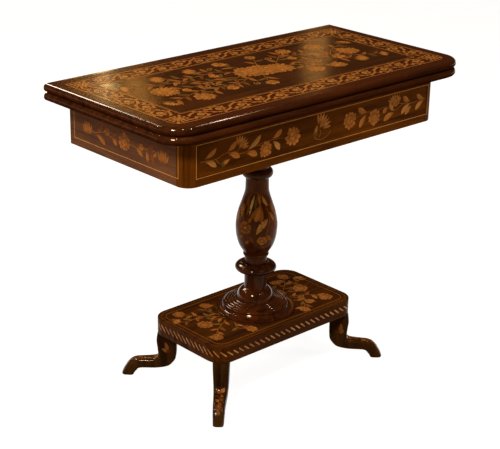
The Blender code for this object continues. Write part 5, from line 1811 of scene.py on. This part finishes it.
def node_group(name, **inputs):
    """A geometry node tree with named inputs and their defaults."""
    tree = bpy.data.node_groups.new(name, "GeometryNodeTree")
    tree.interface.new_socket("Geometry", in_out="INPUT", socket_type="NodeSocketGeometry")
    for label, value in inputs.items():
        kind = "NodeSocketInt" if isinstance(value, int) else "NodeSocketFloat"
        tree.interface.new_socket(label, in_out="INPUT", socket_type=kind).default_value = value
    tree.interface.new_socket("Geometry", in_out="OUTPUT", socket_type="NodeSocketGeometry")
    return tree, tree.nodes.new("NodeGroupInput").outputs


def end_group(tree, made, material):
    """Realize the instances of a tree, give them their material and lead them out."""
    real = add_node(tree, "GeometryNodeRealizeInstances", in_Geometry=made)
    painted = add_node(tree, "GeometryNodeSetMaterial", in_Geometry=real.outputs[0],
                       in_Material=material_of(material))
    add_node(tree, "NodeGroupOutput", in_0=painted.outputs[0])


def grown(host, tree, **values):
    """The mesh that a tree makes on a host mesh with the given inputs."""
    thing = added("host", host)
    modifier = thing.modifiers.new("repeat", "NODES")
    modifier.node_group = tree
    for item in tree.interface.items_tree:
        if item.in_out == "INPUT" and item.name in values:
            modifier[item.identifier] = values[item.name]
    made = evaluated(thing)
    thing.modifiers.remove(modifier)
    bpy.data.objects.remove(thing, do_unlink=True)
    return made


def rope_tree():
    """Slanting dashes laid along the host's line: built in a straight row, then bent along it."""
    tree, given = node_group("rope band", Pitch=0.0165, Dash=0.02, Width=0.0036, Slant=0.66,
                             Depth=0.0004, Proud=0.0001, Level=0.1)
    dash, width, slant = given["Dash"], given["Width"], given["Slant"]
    outline = add_node(tree, "GeometryNodeMeshToCurve", in_Mesh=given["Geometry"]).outputs[0]
    total = add_node(tree, "GeometryNodeCurveLength", in_Curve=outline).outputs[0]
    span = plus(tree, times(tree, dash, maths(tree, "COSINE", slant)),
                times(tree, width, maths(tree, "SINE", slant)))
    room = minus(tree, total, span)
    steps = maths(tree, "ROUND", maths(tree, "DIVIDE", room, given["Pitch"]))
    row = add_node(tree, "GeometryNodeMeshLine", mode="OFFSET", in_Count=plus(tree, steps, 1.0),
                   in_Start_Location=vector(tree, times(tree, span, 0.5)),
                   in_Offset=vector(tree, maths(tree, "DIVIDE", room, steps))).outputs[0]
    bar = add_node(tree, "GeometryNodeMeshCube", in_Vertices_X=9,
                   in_Size=vector(tree, dash, given["Depth"], width)).outputs[0]
    x, y, z = components(tree, add_node(tree, "GeometryNodeInputPosition").outputs[0])
    half = maths(tree, "ABSOLUTE", maths(tree, "DIVIDE", times(tree, x, 2.0), dash))
    slim = minus(tree, 1.0, times(tree, maths(tree, "POWER", half, 6.0), 0.5))
    sunk = minus(tree, times(tree, given["Depth"], 0.5), given["Proud"])
    shape = vector(tree, x, plus(tree, y, sunk), times(tree, z, slim))
    shaped = add_node(tree, "GeometryNodeSetPosition", in_Geometry=bar,
                      in_Position=shape).outputs[0]
    leaning = add_node(tree, "GeometryNodeTransform", in_Geometry=shaped,
                       in_Rotation=vector(tree, 0.0, slant, 0.0)).outputs[0]
    dashes = add_node(tree, "GeometryNodeInstanceOnPoints", in_Points=row,
                      in_Instance=leaning).outputs[0]
    flat = add_node(tree, "GeometryNodeRealizeInstances", in_Geometry=dashes).outputs[0]
    along, deep, high = components(tree, add_node(tree, "GeometryNodeInputPosition").outputs[0])
    sample = add_node(tree, "GeometryNodeSampleCurve", mode="LENGTH", in_Curves=outline,
                      in_Length=along)
    ahead = components(tree, sample.outputs["Tangent"])
    across = vector(tree, times(tree, ahead[1], times(tree, deep, -1.0)),
                    times(tree, ahead[0], deep), plus(tree, high, given["Level"]))
    bent = add_node(tree, "ShaderNodeVectorMath", operation="ADD", in_0=sample.outputs["Position"],
                    in_1=across).outputs[0]
    laid = add_node(tree, "GeometryNodeSetPosition", in_Geometry=flat, in_Position=bent).outputs[0]
    end_group(tree, laid, "rope")
    return tree


def screw_tree():
    """Slotted screws on the host's points, facing up, each turned by chance."""
    tree, given = node_group("slotted screws", Radius=0.0024, Head=0.0004, Slot=0.0006,
                             Shank=0.006, Seed=3)
    radius, head, shank = given["Radius"], given["Head"], given["Shank"]
    cap = add_node(tree, "GeometryNodeMeshCone", in_Vertices=28, in_Radius_Bottom=radius,
                   in_Radius_Top=times(tree, radius, 0.82), in_Depth=head).outputs[0]
    size = vector(tree, times(tree, radius, 3.0), given["Slot"], head)
    groove = add_node(tree, "GeometryNodeMeshCube", in_Size=size).outputs[0]
    groove = add_node(tree, "GeometryNodeTransform", in_Geometry=groove,
                      in_Translation=vector(tree, z=times(tree, head, 0.95))).outputs[0]
    cut = add_node(tree, "GeometryNodeMeshBoolean", operation="DIFFERENCE", solver="EXACT",
                   in_0=cap, in_1=groove).outputs[0]
    rod = add_node(tree, "GeometryNodeMeshCylinder", in_Vertices=20,
                   in_Radius=times(tree, radius, 0.5), in_Depth=shank).outputs[0]
    rod = add_node(tree, "GeometryNodeTransform", in_Geometry=rod,
                   in_Translation=vector(tree, z=times(tree, shank, -0.5))).outputs[0]
    both = tree.nodes.new("GeometryNodeJoinGeometry")
    tree.links.new(cut, both.inputs[0])
    tree.links.new(rod, both.inputs[0])
    turn = add_node(tree, "FunctionNodeRandomValue", in_3=tau, in_Seed=given["Seed"]).outputs[1]
    spots = add_node(tree, "GeometryNodeInstanceOnPoints", in_Points=given["Geometry"],
                     in_Instance=both.outputs[0], in_Rotation=vector(tree, z=turn)).outputs[0]
    end_group(tree, spots, "brass")
    return tree


BAND_LEVEL = 0.56        # the rope band's middle, as a share of the platform's height


class CARDTABLE_OT_rope(bpy.types.Operator):
    """Lay the band of slanting dashes round the platform's edge"""
    bl_idname = "card_table.rope"
    bl_label = "Rope band"

    def execute(self, context):
        settings = context.scene.card_table_rope
        low, high = PLATFORM_LOW, PLATFORM_HIGH
        plan = platform_plan()
        tree, work, corner = rope_tree(), bmesh.new(), len(plan) // 4
        long_side = (settings.pitch, settings.dash, settings.width, settings.slant)
        end = (settings.end_pitch, settings.end_dash, settings.end_width, settings.end_slant)
        for side, (pitch, dash, width, slant) in enumerate((long_side, end, long_side, end)):
            start = corner * side + corner // 2
            line = [plan[(start + i) % len(plan)] for i in range(corner + 1)]
            host = bpy.data.meshes.new("side")
            host.from_pydata([(x, y, 0.0) for x, y in line], [(i, i + 1) for i in range(corner)], [])
            work.from_mesh(grown(host, tree, Pitch=pitch, Dash=dash, Width=width, Slant=slant,
                                 Level=low.z + (high.z - low.z) * BAND_LEVEL))
        finished("rope_band", mesh_of(work), "rope", "base", (), 40.0, 1.0)
        return {"FINISHED"}


class CARDTABLE_OT_screws(bpy.types.Operator):
    """Drive slotted screws into the hinge plates"""
    bl_idname = "card_table.screws"
    bl_label = "Screws"

    def execute(self, context):
        settings = context.scene.card_table_metals
        tree = screw_tree()
        for level, body, name in ((1, "folding_leaf", "upper_hinge_screws"),
                                  (-1, "turning_top", "lower_hinge_screws")):
            spots = []
            for side in ("left", "right"):
                low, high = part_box(f"hinge_{side}_{'upper' if level > 0 else 'lower'}_plate")
                middle = (low.x + high.x) / 2
                spots += [(middle + shift, -(low.z + high.z) / 2 - level * 0.0012, 0.0)
                          for shift in (-0.020, 0.0, 0.020)]
            host = bpy.data.meshes.new("spots")
            host.from_pydata(spots, [], [])
            made = grown(host, tree, Radius=settings.screw_radius, Head=0.0004, Slot=0.0006,
                         Shank=0.0060, Seed=3 + level)
            made.transform(Matrix.Translation((0.0, LEAF_BACK, 0.0))
                           @ Matrix.Rotation(-pi / 2, 4, "X"))
            finished(name, made, "brass", body, (), 35.0, 1.0)
        return {"FINISHED"}


class CARDTABLE_PT_panel(bpy.types.Panel):
    """Settings and build steps of the card table"""
    bl_idname = "CARDTABLE_PT_panel"
    bl_label = "Card table"
    bl_space_type = "VIEW_3D"
    bl_region_type = "UI"
    bl_category = "Card table"

    def draw(self, context):
        for operator in STEPS:
            self.layout.operator(operator.bl_idname)
        for name, group in GROUPS.items():
            box = self.layout.box()
            settings = getattr(context.scene, "card_table_" + name)
            for key in group.__annotations__:
                box.prop(settings, key)


GROUPS = {"stage": StageSettings, "woods": WoodSettings, "inlay": InlaySettings,
          "rope": RopeSettings, "baize": BaizeSettings, "metals": MetalSettings}
STEPS = (CARDTABLE_OT_stage, CARDTABLE_OT_leaves, CARDTABLE_OT_baize, CARDTABLE_OT_frieze,
         CARDTABLE_OT_well, CARDTABLE_OT_ironwork, CARDTABLE_OT_column, CARDTABLE_OT_platform,
         CARDTABLE_OT_feet, CARDTABLE_OT_top_inlay, CARDTABLE_OT_frieze_inlay,
         CARDTABLE_OT_vase_inlay, CARDTABLE_OT_platform_inlay, CARDTABLE_OT_foot_inlay,
         CARDTABLE_OT_rope, CARDTABLE_OT_screws)


def register():
    for group in GROUPS.values():
        bpy.utils.register_class(group)
    for name, group in GROUPS.items():
        setattr(bpy.types.Scene, "card_table_" + name, PointerProperty(type=group))
    for operator in STEPS:
        bpy.utils.register_class(operator)
    bpy.utils.register_class(CARDTABLE_PT_panel)


def unregister():
    bpy.utils.unregister_class(CARDTABLE_PT_panel)
    for operator in reversed(STEPS):
        bpy.utils.unregister_class(operator)
    for name in GROUPS:
        delattr(bpy.types.Scene, "card_table_" + name)
    for group in reversed(list(GROUPS.values())):
        bpy.utils.unregister_class(group)


def main():
    register()
    for operator in STEPS:
        family, step = operator.bl_idname.split(".")
        getattr(getattr(bpy.ops, family), step)()


if __name__ == "__main__":
    main()
